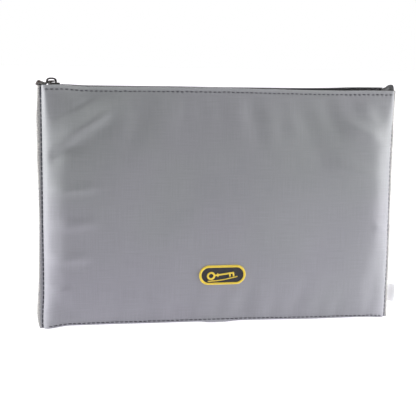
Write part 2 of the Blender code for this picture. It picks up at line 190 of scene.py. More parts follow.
def cubic_grid(field, u, v):
    """Values of a grid of samples at places (u along its columns, v along its rows), cubic both ways."""
    rows, columns = field.shape[:2]
    u, v = np.broadcast_arrays(u, v)
    v = np.clip(v, 0, rows - 1.000001)
    k = np.floor(v).astype(int)
    f = (v - k)[..., None]
    u = np.clip(u, 0, columns - 1.000001)
    j = np.floor(u).astype(int)
    g = (u - j)[..., None]

    def row(d):
        r = np.clip(k + d, 0, rows - 1)
        return cubic(*(field[r, np.clip(j + i, 0, columns - 1)] for i in (-1, 0, 1, 2)), g)

    return cubic(*(row(d) for d in (-1, 0, 1, 2)), f)


# Shape of the bag ------------------------------------------------------------

# How far each hem dips below the top of the walls along X in millimetres: the front one dips towards the
# right, where the black tape shows above it
FRONT_DIP = [
    (-175, 0.4), (-165, 0.1), (-155, -0.2), (-146, 0.5), (-133, 1.5), (-40, 1.4), (-4, 1.4),
    (20, 1.7), (55, 2.3), (85, 2.7), (126, 2.9), (146, 2.6), (175, 2.6),
]
BACK_DIP = [
    (-175, 0.5), (-155, 0.5), (-135, 1.9), (-30, 2.1), (0, 2.5), (70, 2.3), (110, 1.9),
    (150, 1.5), (175, 1.5),
]
# Height of the bottom seam along X, front and back: it stands clear of the ground between the lower corners
FRONT_BOTTOM = [
    (-172, 0.5), (-168, 1.0), (-164, 1.7), (-158, 3.0), (-150, 4.3), (-146, 4.6), (-107, 4.6), (-69, 4.3),
    (30, 4.1), (60, 3.6), (91, 3.1), (141, 3.2), (152, 2.9), (159, 2.3), (166, 1.3), (172, 0.5),
]
BACK_BOTTOM = [(-172, 0.5), (-164, 1.4), (-150, 2.2), (0, 2.4), (150, 2.2), (164, 1.4), (172, 0.5)]
# How far the side seams and the cut edges stand from the middle of the bag, by height
LEFT_SEAM = [
    (0, 169.4), (10, 169.8), (34, 168.7), (65, 169.1), (94, 169.7), (122, 170.0), (169, 170.6), (228, 171.5),
]
RIGHT_SEAM = [
    (0, 170.3), (7, 170.4), (32, 170.8), (63, 171.2), (162, 171.1), (178, 171.9), (194, 172.2), (228, 172.8),
]
LEFT_EDGE = [
    (0, 172.4), (4, 174.5), (12, 175.8), (20, 175.6), (35, 174.6), (73, 173.7), (111, 173.7),
    (133, 174.5), (156, 175.3), (200, 176.1), (222, 175.3), (230, 174.8),
]
RIGHT_EDGE = [
    (0, 174.4), (9, 174.6), (25, 174.5), (66, 175.1), (106, 174.7), (130, 174.9), (154, 175.1),
    (202, 175.4), (226, 175.7), (230, 175.5),
]
# How far the zip sags below its frame's height, and how far its tapes rise where their right ends are sewn in
ZIP_SAG = [
    (-160, 0), (-148, 0.2), (-132, 1.0), (-40, 1.1), (0, 1.4), (75, 1.4), (95, 1.2), (110, 0.9),
    (128, 0.2), (142, 0), (175, 0),
]
TAPE_RISE = [(159, 0), (163, 1.4), (167, 2.3), (175, 3.0)]


def zip_sag(x):
    return table_curve(x, ZIP_SAG)


def hem_height(side, x):
    """Height of one wall's hem at places x."""
    return sizes().hem_top - table_curve(x, FRONT_DIP if side < 0 else BACK_DIP)


def fullness(s, h):
    """How full the bag is at share s of the way to a side seam: 1 in the middle and 0 at the seam, and
    steep there, as the root of one less a high power. The mouth stays wide nearer to the seam than the
    belly does."""
    s = np.abs(np.asarray(s, float))
    body = np.sqrt(1 - np.clip((s - 0.62) / 0.38, 0, 1) ** 7)
    mouth = np.sqrt(1 - np.clip((s - 0.93) / 0.07, 0, 1) ** 8)
    return body + (mouth - body) * smooth((np.asarray(h, float) - 0.8) / 0.2)


BELLY_SHARE = 0.42  # share of the height where the walls stand furthest apart


def wall_depth(h):
    """Distance of the cloth from the middle plane: a sine from the bottom seam up to the belly, then a high
    power in to the mouth, so that the wall stands upright until it nears the hem."""
    bag = sizes()
    h = np.asarray(h, float)
    below, above = np.clip(h / BELLY_SHARE, 0, 1), np.clip((h - BELLY_SHARE) / (1 - BELLY_SHARE), 0, 1)
    low = bag.bottom + (bag.belly - bag.bottom) * np.sin(math.pi / 2 * below) ** 0.8
    high = bag.belly - (bag.belly - bag.mouth) * above**4.5
    return np.where(h < BELLY_SHARE, low, high)


def seam_x():
    """How far a side seam stands from the middle of the bag before it is drawn in or out."""
    return PANEL_HIGH.x - sizes().seam_margin


def seam_at(x_side, z):
    """How far a side seam stands from the middle of the bag at height z."""
    return table_curve(z, LEFT_SEAM if x_side < 0 else RIGHT_SEAM)


def place_across(s, h):
    """X at share s, with both side seams drawn in or out to where they are sewn."""
    s, z = np.asarray(s, float), np.asarray(h, float) * sizes().hem_top
    left = np.clip(-s, 0, 1) ** 6 * (seam_at(-1, z) - seam_x())
    right = np.clip(s, 0, 1) ** 6 * (seam_at(1, z) - seam_x())
    return seam_x() * s - left + right


def bottom_height(side, x):
    """Height of the bottom seam at places x."""
    return table_curve(x, FRONT_BOTTOM if side < 0 else BACK_BOTTOM, 3.5)


def layer_gap(h):
    """Half of the distance between the two walls in their margins: the zip's ends spread them at the
    top."""
    return sizes().layer + 0.45 * MM * smooth((np.asarray(h, float) - 0.93) / 0.05)


def wall_form(side, s, h):
    """A wall before its cloth settles: the depth is swelled by the fullness, and the height runs from the
    bottom seam to the hem."""
    full = fullness(s, h)
    low = bottom_height(side, seam_x() * s)
    gap = layer_gap(h)
    x = place_across(s, h)
    depth = gap + (wall_depth(h) - gap) * full
    return np.stack([x, side * depth, low + h * (hem_height(side, seam_x() * s) - low)], axis=-1)


# Soft folds: where each starts and ends (X, Z), its height and its half width, in millimetres
FRONT_FOLDS = [
    ((-150, 182), (-100, 212), 3.1, 7),
    ((-158, 198), (-114, 221), -1.6, 5),
    ((-168, 160), (-132, 177), -2.6, 6.5),
    ((-167, 131), (-120, 135), 1.6, 4.5),
    ((-167, 98), (-122, 102), 1.7, 5),
    ((-167, 66), (-128, 70), 1.7, 5),
    ((-167, 37), (-146, 39), 1.0, 4),
    ((150, 94), (167, 92), 1.3, 4),
    ((116, 196), (166, 173), 2.3, 7),
    ((104, 158), (168, 137), 1.9, 7),
    ((60, 184), (112, 150), -1.0, 13),
    ((20, 60), (110, 30), 0.6, 15),
    ((-120, 20), (-40, 26), 0.6, 12),
]
BACK_FOLDS = [
    ((165, 190), (110, 150), 0.6, 9),
    ((165, 60), (120, 72), -0.5, 7),
    ((-165, 120), (-110, 128), -0.5, 8),
    ((-160, 190), (-80, 210), 0.5, 12),
    ((-40, 30), (80, 22), 0.35, 12),
    ((30, 150), (130, 190), 0.4, 16),
]


def folds(side, x, z):
    """Height of the soft folds: each is a bell across its line that fades at both of its ends."""
    total = np.zeros(np.broadcast(x, z).shape)
    for (x0, z0), (x1, z1), height, width in FRONT_FOLDS if side < 0 else BACK_FOLDS:
        dx, dz = (x1 - x0) * MM, (z1 - z0) * MM
        size = math.hypot(dx, dz)
        along = ((x - x0 * MM) * dx + (z - z0 * MM) * dz) / size**2
        across = ((x - x0 * MM) * dz - (z - z0 * MM) * dx) / size / (width * MM)
        ends = smooth(1.6 * along + 0.35), smooth(1.6 * (1 - along) + 0.35)
        total = total + height * MM * np.exp(-(across**2)) * ends[0] * ends[1]
    return total


def badge_centre():
    """The badge's middle: X and Z."""
    return (RIM_LOW.x + RIM_HIGH.x) / 2, (RIM_LOW.z + RIM_HIGH.z) / 2


def badge_calm(x, z):
    """1 beside the badge and 0 under it, where its backing keeps the cloth flat."""
    cx, cz = badge_centre()
    return smooth((np.hypot((x - cx) / 1.9, z - cz) - 9 * MM) / (12 * MM))


def blurred(field, times):
    """The field after each sample has been mixed with its four neighbours a number of times."""
    for _ in range(times):
        for axis in (0, 1):
            ends = [(1, 1) if k == axis else (0, 0) for k in range(field.ndim)]
            wide = np.pad(field, ends, mode="edge")
            low, high = np.delete(wide, (-1, -2), axis), np.delete(wide, (0, 1), axis)
            field = field / 2 + (low + high) / 4
    return field


SAG_CAP = 1.8 * MM  # the furthest that settling may move the cloth


class Wall:
    """One settled wall of the bag: side is -1 for the front and 1 for the back."""

    def __init__(self, side):
        self.side = side
        self.sag = None
        self.calm_sag = None

    def settle(self):
        """Pins a grid of cloth along its seams and hem, gives it a little spare cloth and some air inside,
        and keeps how far each point moved from the plain form, blurred a little, and much more for the
        cloth that the badge keeps calm."""
        bag = sizes()
        columns, rows = ((141, 93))
        s, h = np.meshgrid(np.linspace(-1, 1, columns), np.linspace(0, 1, rows))
        form = wall_form(self.side, s, h)
        held = (np.abs(s) > 0.995) | (h < 0.001) | (h > 0.975)
        moved = settle_cloth(form, held, bag.slack, bag.settle_steps, self.side)
        sag = moved - form
        size = np.linalg.norm(sag, axis=-1, keepdims=True)
        sag = sag * SAG_CAP * np.tanh(size / SAG_CAP) / np.maximum(size, 1e-9)
        sag = sag * smooth((1 - np.abs(s)) / 0.1)[..., None]
        finer = columns / 141
        self.sag = blurred(sag, round(6 * finer**2))
        self.calm_sag = blurred(sag, round(60 * finer**2))

    def at(self, s, h):
        """Places on the middle of the cloth: the plain form, what the settling moved, the folds, and the
        small puckers beside the rows of stitches."""
        s, h = np.broadcast_arrays(np.asarray(s, float), np.asarray(h, float))
        form = wall_form(self.side, s, h)
        x, z = form[..., 0], form[..., 2]
        calm = badge_calm(x, z) if self.side < 0 else np.ones(x.shape)
        if self.sag is not None:
            rows, columns = self.sag.shape[:2]
            u, v = (s + 1) / 2 * (columns - 1), h * (rows - 1)
            sag, calm_sag = cubic_grid(self.sag, u, v), cubic_grid(self.calm_sag, u, v)
            form = form + calm_sag + (sag - calm_sag) * calm[..., None]
        proud = folds(self.side, x, z) * calm * smooth((1 - np.abs(s)) / 0.06)
        proud = proud + self.puckers(s, h, x, z)
        form[..., 1] += self.side * proud
        return form

    def puckers(self, s, h, x, z):
        """Dents along the top row of stitches, and short ripples that run out of the side and bottom
        seams."""
        bag = sizes()
        under = hem_height(self.side, x) - bag.top_row - z
        row = -0.32 * np.exp(-((under / (0.9 * MM)) ** 2)) - 1.1 * np.clip(-under / bag.top_row, 0, 1) ** 1.4
        wave = np.cos(2 * math.pi * x / bag.stitch)
        row = row - 0.10 * wave * np.exp(-((under / (2.6 * MM)) ** 2))
        edge = seam_x() - np.abs(x)
        ripple = np.sin(z / (2.9 * MM) + 1.7 * np.sin(z / (17 * MM)) + (0 if self.side < 0 else 2))
        side_ripple = 0.1 * ripple * np.exp(-edge / (9 * MM)) * smooth(edge / (3 * MM))
        low = np.sin(x / (3.1 * MM) + 2.0 * np.sin(x / (23 * MM)))
        bottom_ripple = 0.14 * low * np.exp(-h * 200 / 8) * smooth(h * 200 / 2)
        inside = smooth((0.9 - h) / 0.05)
        return (row * smooth((1 - np.abs(s)) / 0.02) + side_ripple * inside + bottom_ripple) * MM

    def normal(self, s, h):
        """Unit normals that point out of the bag, from small steps along both parameters."""
        step = 2e-4
        across = self.at(s + step, h) - self.at(s - step, h)
        up = self.at(s, np.clip(h + step, 0, 1)) - self.at(s, np.clip(h - step, 0, 1))
        return unit(np.cross(across, up)) * (-self.side)


def share_up(side, x, drop):
    """Share of the height that lies a given drop below the hem, at places x."""
    return 1 - drop / (hem_height(side, x) - bottom_height(side, x))


def share_at(side, x, z):
    """Share of the height at places x and heights z on a wall."""
    low = bottom_height(side, x)
    return (z - low) / (hem_height(side, x) - low)


# Meshes ----------------------------------------------------------------------


def fill_mesh(mesh, points, faces, uv=None):
    """Puts points and faces of any number of corners into a mesh, with a UV for each corner."""
    starts = np.concatenate([[0], np.cumsum([f.shape[1] * len(f) for f in faces])]).astype(int)
    corners = np.concatenate([f.ravel() for f in faces]).astype(np.int32)
    totals = np.concatenate([np.full(len(f), f.shape[1]) for f in faces]).astype(np.int32)
    mesh.vertices.add(len(points))
    mesh.vertices.foreach_set("co", np.asarray(points, np.float32).ravel())
    mesh.loops.add(int(starts[-1]))
    mesh.loops.foreach_set("vertex_index", corners)
    mesh.polygons.add(len(totals))
    loop_starts = np.concatenate([[0], np.cumsum(totals)[:-1]])
    mesh.polygons.foreach_set("loop_start", loop_starts.astype(np.int32))
    if uv is not None:
        layer = mesh.uv_layers.new(name="Weave")
        layer.uv.foreach_set("vector", np.asarray(uv, np.float32).ravel())
    mesh.update(calc_edges=True)
    mesh.validate()


def make_piece(name, points, faces, finish, slot, uv=None, is_smooth=True):
    """Adds a finished piece at the origin with its places in its mesh."""
    mesh = bpy.data.meshes.new(name)
    fill_mesh(mesh, points, faces, uv)
    if is_smooth:
        mesh.shade_smooth()
    mesh.materials.append(finish)
    piece = bpy.data.objects.new(name, mesh)
    bpy.context.collection.objects.link(piece)
    return piece


def grid_faces(rows, columns, around=False, start=0):
    """Four-cornered faces of a grid of points, and the grid places of their corners. around closes the
    columns."""
    last_column = columns if around else columns - 1
    r, c = np.meshgrid(np.arange(rows - 1), np.arange(last_column), indexing="ij")
    r, c = r.ravel(), c.ravel()
    corner_rows = np.stack([r, r, r + 1, r + 1], axis=1)
    corner_columns = np.stack([c, c + 1, c + 1, c], axis=1)
    faces = corner_rows * columns + corner_columns % columns + start
    return faces, corner_rows, corner_columns


def sheet_piece(name, points, uv, finish, slot, thickness=None):
    """A grid of points as a sheet, with uv in metres at each point, made thick to both sides."""
    rows, columns = points.shape[:2]
    faces, r, c = grid_faces(rows, columns)
    piece = make_piece(name, points.reshape(-1, 3), [faces], finish, slot, uv[r, c].reshape(-1, 2))
    if thickness:
        solid = piece.modifiers.new("Thickness", "SOLIDIFY")
        solid.thickness = thickness
        solid.offset = 0
        solid.use_quality_normals = True
    return piece


def distances(points, axis):
    """How far each point of a grid lies along its rows or columns, from the first."""
    steps = np.linalg.norm(np.diff(points, axis=axis), axis=2).cumsum(axis)
    return np.concatenate([np.zeros_like(np.take(steps, [0], axis)), steps], axis=axis)


def tubes(centres, normals, across, widths, heights, sides=6, under=1.0, looped=False):
    """Closed tubes: centres is (tubes, rings, 3), and each ring is an ellipse in the plane of normals and
    across, whose lower half is flattened by under. A looped tube joins its last ring to its first. Returns
    points, faces and corner UVs along and around in metres."""
    count, rings = centres.shape[:2]
    a = 2 * math.pi * np.arange(sides) / sides
    rise = np.where(np.sin(a) < 0, under * np.sin(a), np.sin(a))
    ring = (
        across[:, :, None] * (np.cos(a)[None, None, :, None] * widths[..., None, None])
        + normals[:, :, None] * (rise[None, None, :, None] * heights[..., None, None])
    )
    points = (centres[:, :, None] + ring).reshape(-1, 3)
    faces, r, c = grid_faces(rings + looped, sides, around=True)
    faces, r = faces % (rings * sides), r % rings
    first = np.arange(count)[:, None, None] * rings * sides
    quads = (faces[None] + first).reshape(-1, 4)
    along = distances(centres, 1)
    round_uv = c / sides * 2 * math.pi * float(np.mean(widths))
    uv = np.stack([along[:, r], np.broadcast_to(round_uv, (count,) + r.shape)], axis=-1).reshape(-1, 2)
    if looped:
        return points, [quads], uv
    low = np.arange(sides)[::-1][None] + np.arange(count)[:, None] * rings * sides
    high = np.arange(sides)[None] + (rings - 1) * sides + np.arange(count)[:, None] * rings * sides
    caps = np.concatenate([low, high])
    uv = np.concatenate([uv, np.zeros((caps.size, 2))])
    return points, [quads, caps], uv


def joined(parts):
    """Several (points, faces, uv) as one."""
    points, faces, uvs, start = [], {}, {}, 0
    for part_points, part_faces, part_uv in parts:
        used = 0
        for f in part_faces:
            size = f.shape[1]
            faces.setdefault(size, []).append(f + start)
            uvs.setdefault(size, []).append(part_uv[used : used + f.size])
            used += f.size
        points.append(part_points)
        start += len(part_points)
    order = sorted(faces)
    return (
        np.concatenate(points),
        [np.concatenate(faces[k]) for k in order],
        np.concatenate([np.concatenate(uvs[k]) for k in order]),
    )


def settle_cloth(form, held, slack, steps, side):
    """Steps a pinned cloth with spare length and air pressure, and returns where its points came to."""
    rows, columns = form.shape[:2]
    ordered = form if side < 0 else form[:, ::-1]
    pins = held if side < 0 else held[:, ::-1]
    faces, _, _ = grid_faces(rows, columns)
    mesh = bpy.data.meshes.new("settling")
    fill_mesh(mesh, ordered.reshape(-1, 3), [faces])
    cloth_object = bpy.data.objects.new("settling", mesh)
    scene = bpy.context.scene
    scene.collection.objects.link(cloth_object)
    group = cloth_object.vertex_groups.new(name="held")
    group.add([int(i) for i in np.flatnonzero(pins.ravel())], 1.0, "REPLACE")
    modifier = cloth_object.modifiers.new("Cloth", "CLOTH")
    cloth = modifier.settings
    cloth.vertex_group_mass = "held"
    cloth.pin_stiffness = 5
    cloth.quality = 6
    cloth.mass = 0.12
    cloth.air_damping = 2
    cloth.tension_stiffness = 40
    cloth.compression_stiffness = 40
    cloth.shear_stiffness = 18
    cloth.bending_stiffness = 6.0
    cloth.tension_damping = 12
    cloth.compression_damping = 12
    cloth.shear_damping = 12
    cloth.shrink_min = -slack
    cloth.shrink_max = -slack
    cloth.use_pressure = True
    cloth.uniform_pressure_force = 1.2
    cloth.effector_weights.gravity = 0
    modifier.collision_settings.use_collision = False
    modifier.collision_settings.use_self_collision = False
    modifier.point_cache.frame_start = 1
    modifier.point_cache.frame_end = steps
    for step in range(1, steps + 1):
        scene.frame_set(step)
    done = cloth_object.evaluated_get(bpy.context.evaluated_depsgraph_get()).to_mesh()
    moved = np.empty(rows * columns * 3, np.float32)
    done.vertices.foreach_get("co", moved)
    cloth_object.to_mesh_clear()
    bpy.data.objects.remove(cloth_object)
    scene.frame_set(1)
    moved = moved.reshape(rows, columns, 3).astype(float)
    return moved if side < 0 else moved[:, ::-1]


def lens(x):
    """How much of the front wall's lean a point follows: the mouth opens as a lens from the left seam to
    where the slider stops, and the seams stay sewn."""
    left, right = COIL_LOW.x - 3 * MM, STOP_LOW.x - (SLIDER_HIGH.x - SLIDER_LOW.x) * 0.6
    t = np.clip((x - left) / (right - left), 0, 1)
    return 1 - np.abs(2 * t - 1) ** 2.2


def rides_with_front(piece):
    """Bakes the piece's placing into its mesh and reads its places."""
    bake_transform(piece)
    x = np.empty(len(piece.data.vertices) * 3, np.float32)
    piece.data.vertices.foreach_get("co", x)


def rides_on_wall(piece, side):
    """A front piece has its placing baked into its mesh, and a back piece is attached to the bag."""
    if side < 0:
        rides_with_front(piece)
    else:
        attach(piece, "bag")


# Finishes --------------------------------------------------------------------


class Finish:
    """Builds one node material. Every method that adds a node returns its output socket."""

    def __init__(self, name, base, roughness, metallic=0.0, **uniform):
        self.material = bpy.data.materials.new(name)
        self.material.use_nodes = True
        self.tree = self.material.node_tree
        self.shader = self.tree.nodes["Principled BSDF"]
        self.shader.inputs["Base Color"].default_value = (*base, 1)
        self.shader.inputs["Roughness"].default_value = roughness
        self.shader.inputs["Metallic"].default_value = metallic
        for socket, value in uniform.items():
            self.shader.inputs[socket.replace("_", " ").title().replace("Ior", "IOR")].default_value = value

    def node(self, kind, *inputs, out=0, **settings):
        made = self.tree.nodes.new("ShaderNode" + kind)
        for key, value in settings.items():
            setattr(made, key, value)
        for k, value in enumerate(inputs):
            self.put(made.inputs[k], value)
        return made.outputs[out]

    def put(self, socket, value):
        if value is None:
            return
        if isinstance(value, bpy.types.NodeSocket):
            self.tree.links.new(value, socket)
        elif isinstance(value, tuple) and len(value) == 3 and socket.type == "RGBA":
            socket.default_value = (*value, 1)
        else:
            socket.default_value = value

    def math(self, operation, a, b=None):
        return self.node("Math", a, b, operation=operation)

    def weave_place(self):
        return self.node("UVMap", uv_map="Weave")

    def object_place(self):
        return self.node("TexCoord", out=3)

    def noise(self, place, scale, detail=2.0, roughness=0.5):
        made = self.tree.nodes.new("ShaderNodeTexNoise")
        self.put(made.inputs["Vector"], place)
        for key, value in (("Scale", scale), ("Detail", detail), ("Roughness", roughness)):
            made.inputs[key].default_value = value
        return made.outputs["Fac"]

    def span(self, value, low, high, to_low=0.0, to_high=1.0):
        return self.node("MapRange", value, low, high, to_low, to_high, interpolation_type="SMOOTHSTEP")

    def stripes(self, along, pitch):
        """0 to 1 and back over each pitch, as a sine."""
        wave = self.math("SINE", self.math("MULTIPLY", along, 2 * math.pi / pitch))
        return self.span(wave, -1, 1)

    def times(self, tone, factor):
        """A tone multiplied by a colour or by a number that a socket gives."""
        return self.blend(1.0, tone, factor, "MULTIPLY")

    def blend(self, share, a, b, mode="MIX"):
        made = self.tree.nodes.new("ShaderNodeMix")
        made.data_type = "RGBA"
        made.blend_type = mode
        self.put(made.inputs[0], share)
        self.put(made.inputs[6], a)
        self.put(made.inputs[7], b)
        return made.outputs[2]

    def stretch(self, place, scale):
        made = self.tree.nodes.new("ShaderNodeMapping")
        self.put(made.inputs["Vector"], place)
        made.inputs["Scale"].default_value = scale
        return made.outputs[0]

    def split(self, place):
        made = self.tree.nodes.new("ShaderNodeSeparateXYZ")
        self.put(made.inputs[0], place)
        return made.outputs[0], made.outputs[1]

    def bump(self, height, strength, distance, under=None):
        made = self.tree.nodes.new("ShaderNodeBump")
        made.inputs["Strength"].default_value = strength
        made.inputs["Distance"].default_value = distance
        self.put(made.inputs["Height"], height)
        if under is not None:
            self.put(made.inputs["Normal"], under)
        return made.outputs[0]

    def finish(self, base=None, roughness=None, normal=None):
        for socket, value in (("Base Color", base), ("Roughness", roughness), ("Normal", normal)):
            if value is not None:
                self.put(self.shader.inputs[socket], value)
        return self.material

    def plain_weave(self, place, pitch, float_length=1.0):
        """Height of a plain weave: each thread is a sine across its width, and rises and dips along its
        length by turns with its neighbours; the higher of the two sets of threads shows. Also which set
        shows."""
        x, y = self.split(place)
        a, b = self.math("DIVIDE", x, pitch), self.math("DIVIDE", y, pitch)
        heights = []
        for own, other, shift in ((a, b, 0.0), (b, a, 1.0)):
            thread = self.math("ABSOLUTE", self.math("SINE", self.math("MULTIPLY", own, math.pi)))
            number = self.math("ADD", self.math("FLOOR", own), shift)
            phase = self.math("ADD", self.math("DIVIDE", self.math("ADD", other, -0.5), float_length), number)
            rise = self.math("COSINE", self.math("MULTIPLY", phase, math.pi))
            rise = self.math("MULTIPLY", self.math("ADD", rise, 1.25), 0.45)
            heights.append(self.math("MULTIPLY", thread, rise))
        top = self.math("MAXIMUM", heights[0], heights[1])
        which = self.math("GREATER_THAN", heights[0], heights[1])
        return top, which


def shade(rgb, factor):
    return tuple(min(1.0, c * factor) for c in rgb)


def cloth_finish():
    """Coated nylon: a fine plain weave, two slightly different threads, cool and warm clouds, slubs, a
    painted highlight that makes the seam margins paler towards the cut edges, and painted shade towards the
    top with painted floor bounce towards the bottom."""
    c = colours()
    base = tuple(c.cloth)
    sheen = {"sheen_weight": 0.12, "sheen_roughness": 0.4, "specular_ior_level": 0.45}
    made = Finish("Grey coated nylon", base, 0.6, **sheen)
    place, body = made.weave_place(), made.object_place()
    weave, which = made.plain_weave(place, 0.62 * MM)
    clouds = made.span(made.noise(body, 11.0, 3.0, 0.55), 0.35, 0.65)
    hue = made.span(made.noise(made.stretch(body, (7.0, 7.0, 7.0)), 1.0, 2.0, 0.6), 0.35, 0.65)
    tone = made.blend(hue, shade(base, 1.0), (base[0] * 0.97, base[1] * 1.0, base[2] * 0.955))
    tone = made.blend(clouds, made.times(tone, (0.95, 0.95, 0.955)), tone)
    # Painted shade and painted floor bounce: the cloth is painted darker and greener towards the top of the
    # bag and lighter and more purple towards the bottom, by height.
    height = made.node("SeparateXYZ", body, out=2)
    lift = made.span(height, 0.0, 0.2)
    tone = made.times(tone, made.blend(lift, (1.02, 1.0, 1.045), (0.95, 0.955, 0.945)))
    threads = made.blend(which, (0.93, 0.93, 0.94), (1.05, 1.05, 1.05))
    tone = made.times(tone, threads)
    warp = made.noise(made.stretch(place, (1600.0, 40.0, 1.0)), 1.0, 1.0)
    weft = made.noise(made.stretch(place, (40.0, 1600.0, 1.0)), 1.0, 1.0)
    slub = made.span(made.math("ADD", warp, weft), 0.7, 1.3, 0.95, 1.04)
    tone = made.times(tone, slub)
    # Painted highlight on the seam margins: the cloth is painted paler and warmer towards the cut edges, in
    # patches.
    rub = made.math("MULTIPLY", made.node("Attribute", attribute_name="rub", out=2), 1.6)
    margin_highlight_patches = made.math("MULTIPLY", rub, made.span(made.noise(body, 900.0, 3.0, 0.7), 0.35, 0.6))
    tone = made.blend(margin_highlight_patches, tone, tuple(c.margin_highlight_tone))
    rough = made.span(weave, 0.1, 0.9, 0.72, 0.5)
    normal = made.bump(weave, 0.35, 0.12 * MM)
    normal = made.bump(made.noise(body, 260.0, 3.0, 0.6), 0.12, 0.3 * MM, normal)
    return made.finish(tone, rough, normal)


def lining_finish():
    """Thin dark lining with a fine weave and a low sheen."""
    base = tuple(colours().lining)
    made = Finish("Dark lining", base, 0.5, sheen_weight=0.1)
    weave, which = made.plain_weave(made.weave_place(), 0.4 * MM)
    tone = made.blend(which, shade(base, 0.85), shade(base, 1.15))
    cloud = made.span(made.noise(made.object_place(), 30.0, 3.0), 0.3, 0.7, 0.85, 1.1)
    tone = made.times(tone, cloud)
    return made.finish(tone, made.span(weave, 0, 1, 0.6, 0.42), made.bump(weave, 0.3, 0.08 * MM))


def tape_finish():
    """Herringbone zip tape: slanted ribs that turn over at each stripe."""
    base = tuple(colours().tape)
    made = Finish("Zip tape", base, 0.75, sheen_weight=0.25, sheen_roughness=0.5)
    x, y = made.split(made.weave_place())
    stripe = made.math("PINGPONG", y, 1.1 * MM)
    ribs = made.stripes(made.math("ADD", x, stripe), 0.7 * MM)
    # Painted shade and painted highlight: the tape is painted darker in the grooves between the ribs and
    # lighter on their ridges, on the bump's wave.
    tone = made.blend(ribs, shade(base, 0.6), shade(base, 1.6))
    dust = made.span(made.noise(made.object_place(), 700.0, 3.0, 0.7), 0.45, 0.8, 1.0, 1.5)
    tone = made.times(tone, dust)
    return made.finish(tone, made.span(ribs, 0, 1, 0.85, 0.65), made.bump(ribs, 0.5, 0.15 * MM))


def coil_finish():
    """Extruded nylon monofilament: glossy, with faint drawing lines and dust between the turns."""
    base = tuple(colours().coil)
    made = Finish("Zip coil nylon", base, 0.32, coat_weight=0.15, coat_roughness=0.2)
    along = made.noise(made.stretch(made.weave_place(), (60.0, 6000.0, 1.0)), 1.0, 2.0)
    dust = made.span(made.noise(made.object_place(), 900.0, 3.0, 0.6), 0.5, 0.8)
    tone = made.blend(dust, base, shade(base, 3.2))
    return made.finish(tone, made.span(along, 0.3, 0.7, 0.26, 0.42), made.bump(along, 0.15, 0.05 * MM))


def metal_finish():
    """Black lacquered casting: satin, with orange peel, fine scratches, and bare metal where edges are
    rubbed."""
    c = colours()
    base = tuple(c.metal)
    made = Finish("Black lacquered metal", base, 0.3, coat_weight=0.3, coat_roughness=0.15)
    body = made.object_place()
    edge = made.node("NewGeometry", out=7)
    patch = made.noise(body, 420.0, 3.0, 0.65)
    wear = made.math("MULTIPLY", made.span(edge, 0.52, 0.62), made.span(patch, 0.42, 0.6))
    tone = made.blend(wear, base, tuple(c.worn_metal))
    scratch = made.noise(made.stretch(body, (300.0, 4000.0, 900.0)), 1.0, 2.0)
    rough = made.span(scratch, 0.35, 0.7, 0.24, 0.44)
    normal = made.bump(made.noise(body, 1500.0, 2.0), 0.12, 0.06 * MM)
    normal = made.bump(scratch, 0.08, 0.04 * MM, normal)
    made.put(made.shader.inputs["Metallic"], wear)
    return made.finish(tone, rough, normal)


def thread_finish():
    """Two-ply sewing thread: plies that wind round it, with a little fuzz."""
    base = tuple(colours().thread)
    made = Finish("Navy black thread", base, 0.6, sheen_weight=0.3, sheen_roughness=0.5)
    x, y = made.split(made.weave_place())
    ply = made.stripes(made.math("ADD", x, y), 0.62 * MM)
    # Painted shade and painted highlight: the thread is painted darker in the grooves between the plies and
    # lighter on their crowns, on the bump's wave.
    tone = made.blend(ply, shade(base, 0.5), shade(base, 1.9))
    return made.finish(tone, made.span(ply, 0, 1, 0.75, 0.5), made.bump(ply, 0.7, 0.12 * MM))


def badge_back_finish():
    """Black twill: steep diagonal ribs."""
    base = tuple(colours().badge_back)
    made = Finish("Badge twill", base, 0.8, sheen_weight=0.2)
    x, y = made.split(made.weave_place())
    slant = made.math("ADD", x, made.math("MULTIPLY", y, 0.6))
    ribs = made.stripes(slant, 0.6 * MM)
    weave, _ = made.plain_weave(made.weave_place(), 0.3 * MM)
    # Painted shade and painted highlight: the twill is painted darker in the grooves between the ribs and
    # lighter on their ridges, on the bump's wave.
    tone = made.blend(ribs, shade(base, 0.6), shade(base, 2.0))
    height = made.math("ADD", ribs, made.math("MULTIPLY", weave, 0.5))
    return made.finish(tone, None, made.bump(height, 0.5, 0.1 * MM))


def badge_thread_finish():
    """Embroidery thread with a silky shine: fine filaments along each stitch and small shifts of tone."""
    base = tuple(colours().badge_thread)
    made = Finish("Yellow embroidery", base, 0.42, sheen_weight=0.15, anisotropic=0.3)
    place = made.weave_place()
    rows = made.stripes(made.split(place)[0], 0.42 * MM)
    tuft = made.noise(made.stretch(place, (2400.0, 300.0, 1.0)), 1.0, 2.0, 0.6)
    # Painted shade: the embroidery is painted darker in the grooves between the rows of stitches, on the
    # bump's wave.
    tone = made.blend(rows, shade(base, 0.72), base)
    tone = made.blend(made.span(tuft, 0.35, 0.7), made.times(tone, (0.9, 0.86, 0.8)), tone)
    return made.finish(tone, made.span(tuft, 0.3, 0.7, 0.36, 0.52), made.bump(rows, 0.6, 0.12 * MM))


def label_finish():
    """White satin ribbon: fine floats along its length, and thin enough to let light through."""
    base = tuple(colours().label)
    made = Finish("White satin ribbon", base, 0.38, sheen_weight=0.2, subsurface_weight=0.25)
    made.shader.inputs["Subsurface Scale"].default_value = 1.5 * MM
    made.shader.inputs["Subsurface Radius"].default_value = (1, 1, 1)
    weave, which = made.plain_weave(made.weave_place(), 0.35 * MM, 4.0)
    tone = made.blend(which, shade(base, 0.94), base)
    return made.finish(tone, made.span(weave, 0, 1, 0.5, 0.32), made.bump(weave, 0.35, 0.06 * MM))


# Pieces ----------------------------------------------------------------------


def columns_across(count):
    """Shares from -1 to 1 that lie closer together near the side seams."""
    t = np.linspace(-1, 1, count)
    return 0.3 * t + 0.7 * np.sin(math.pi / 2 * t)


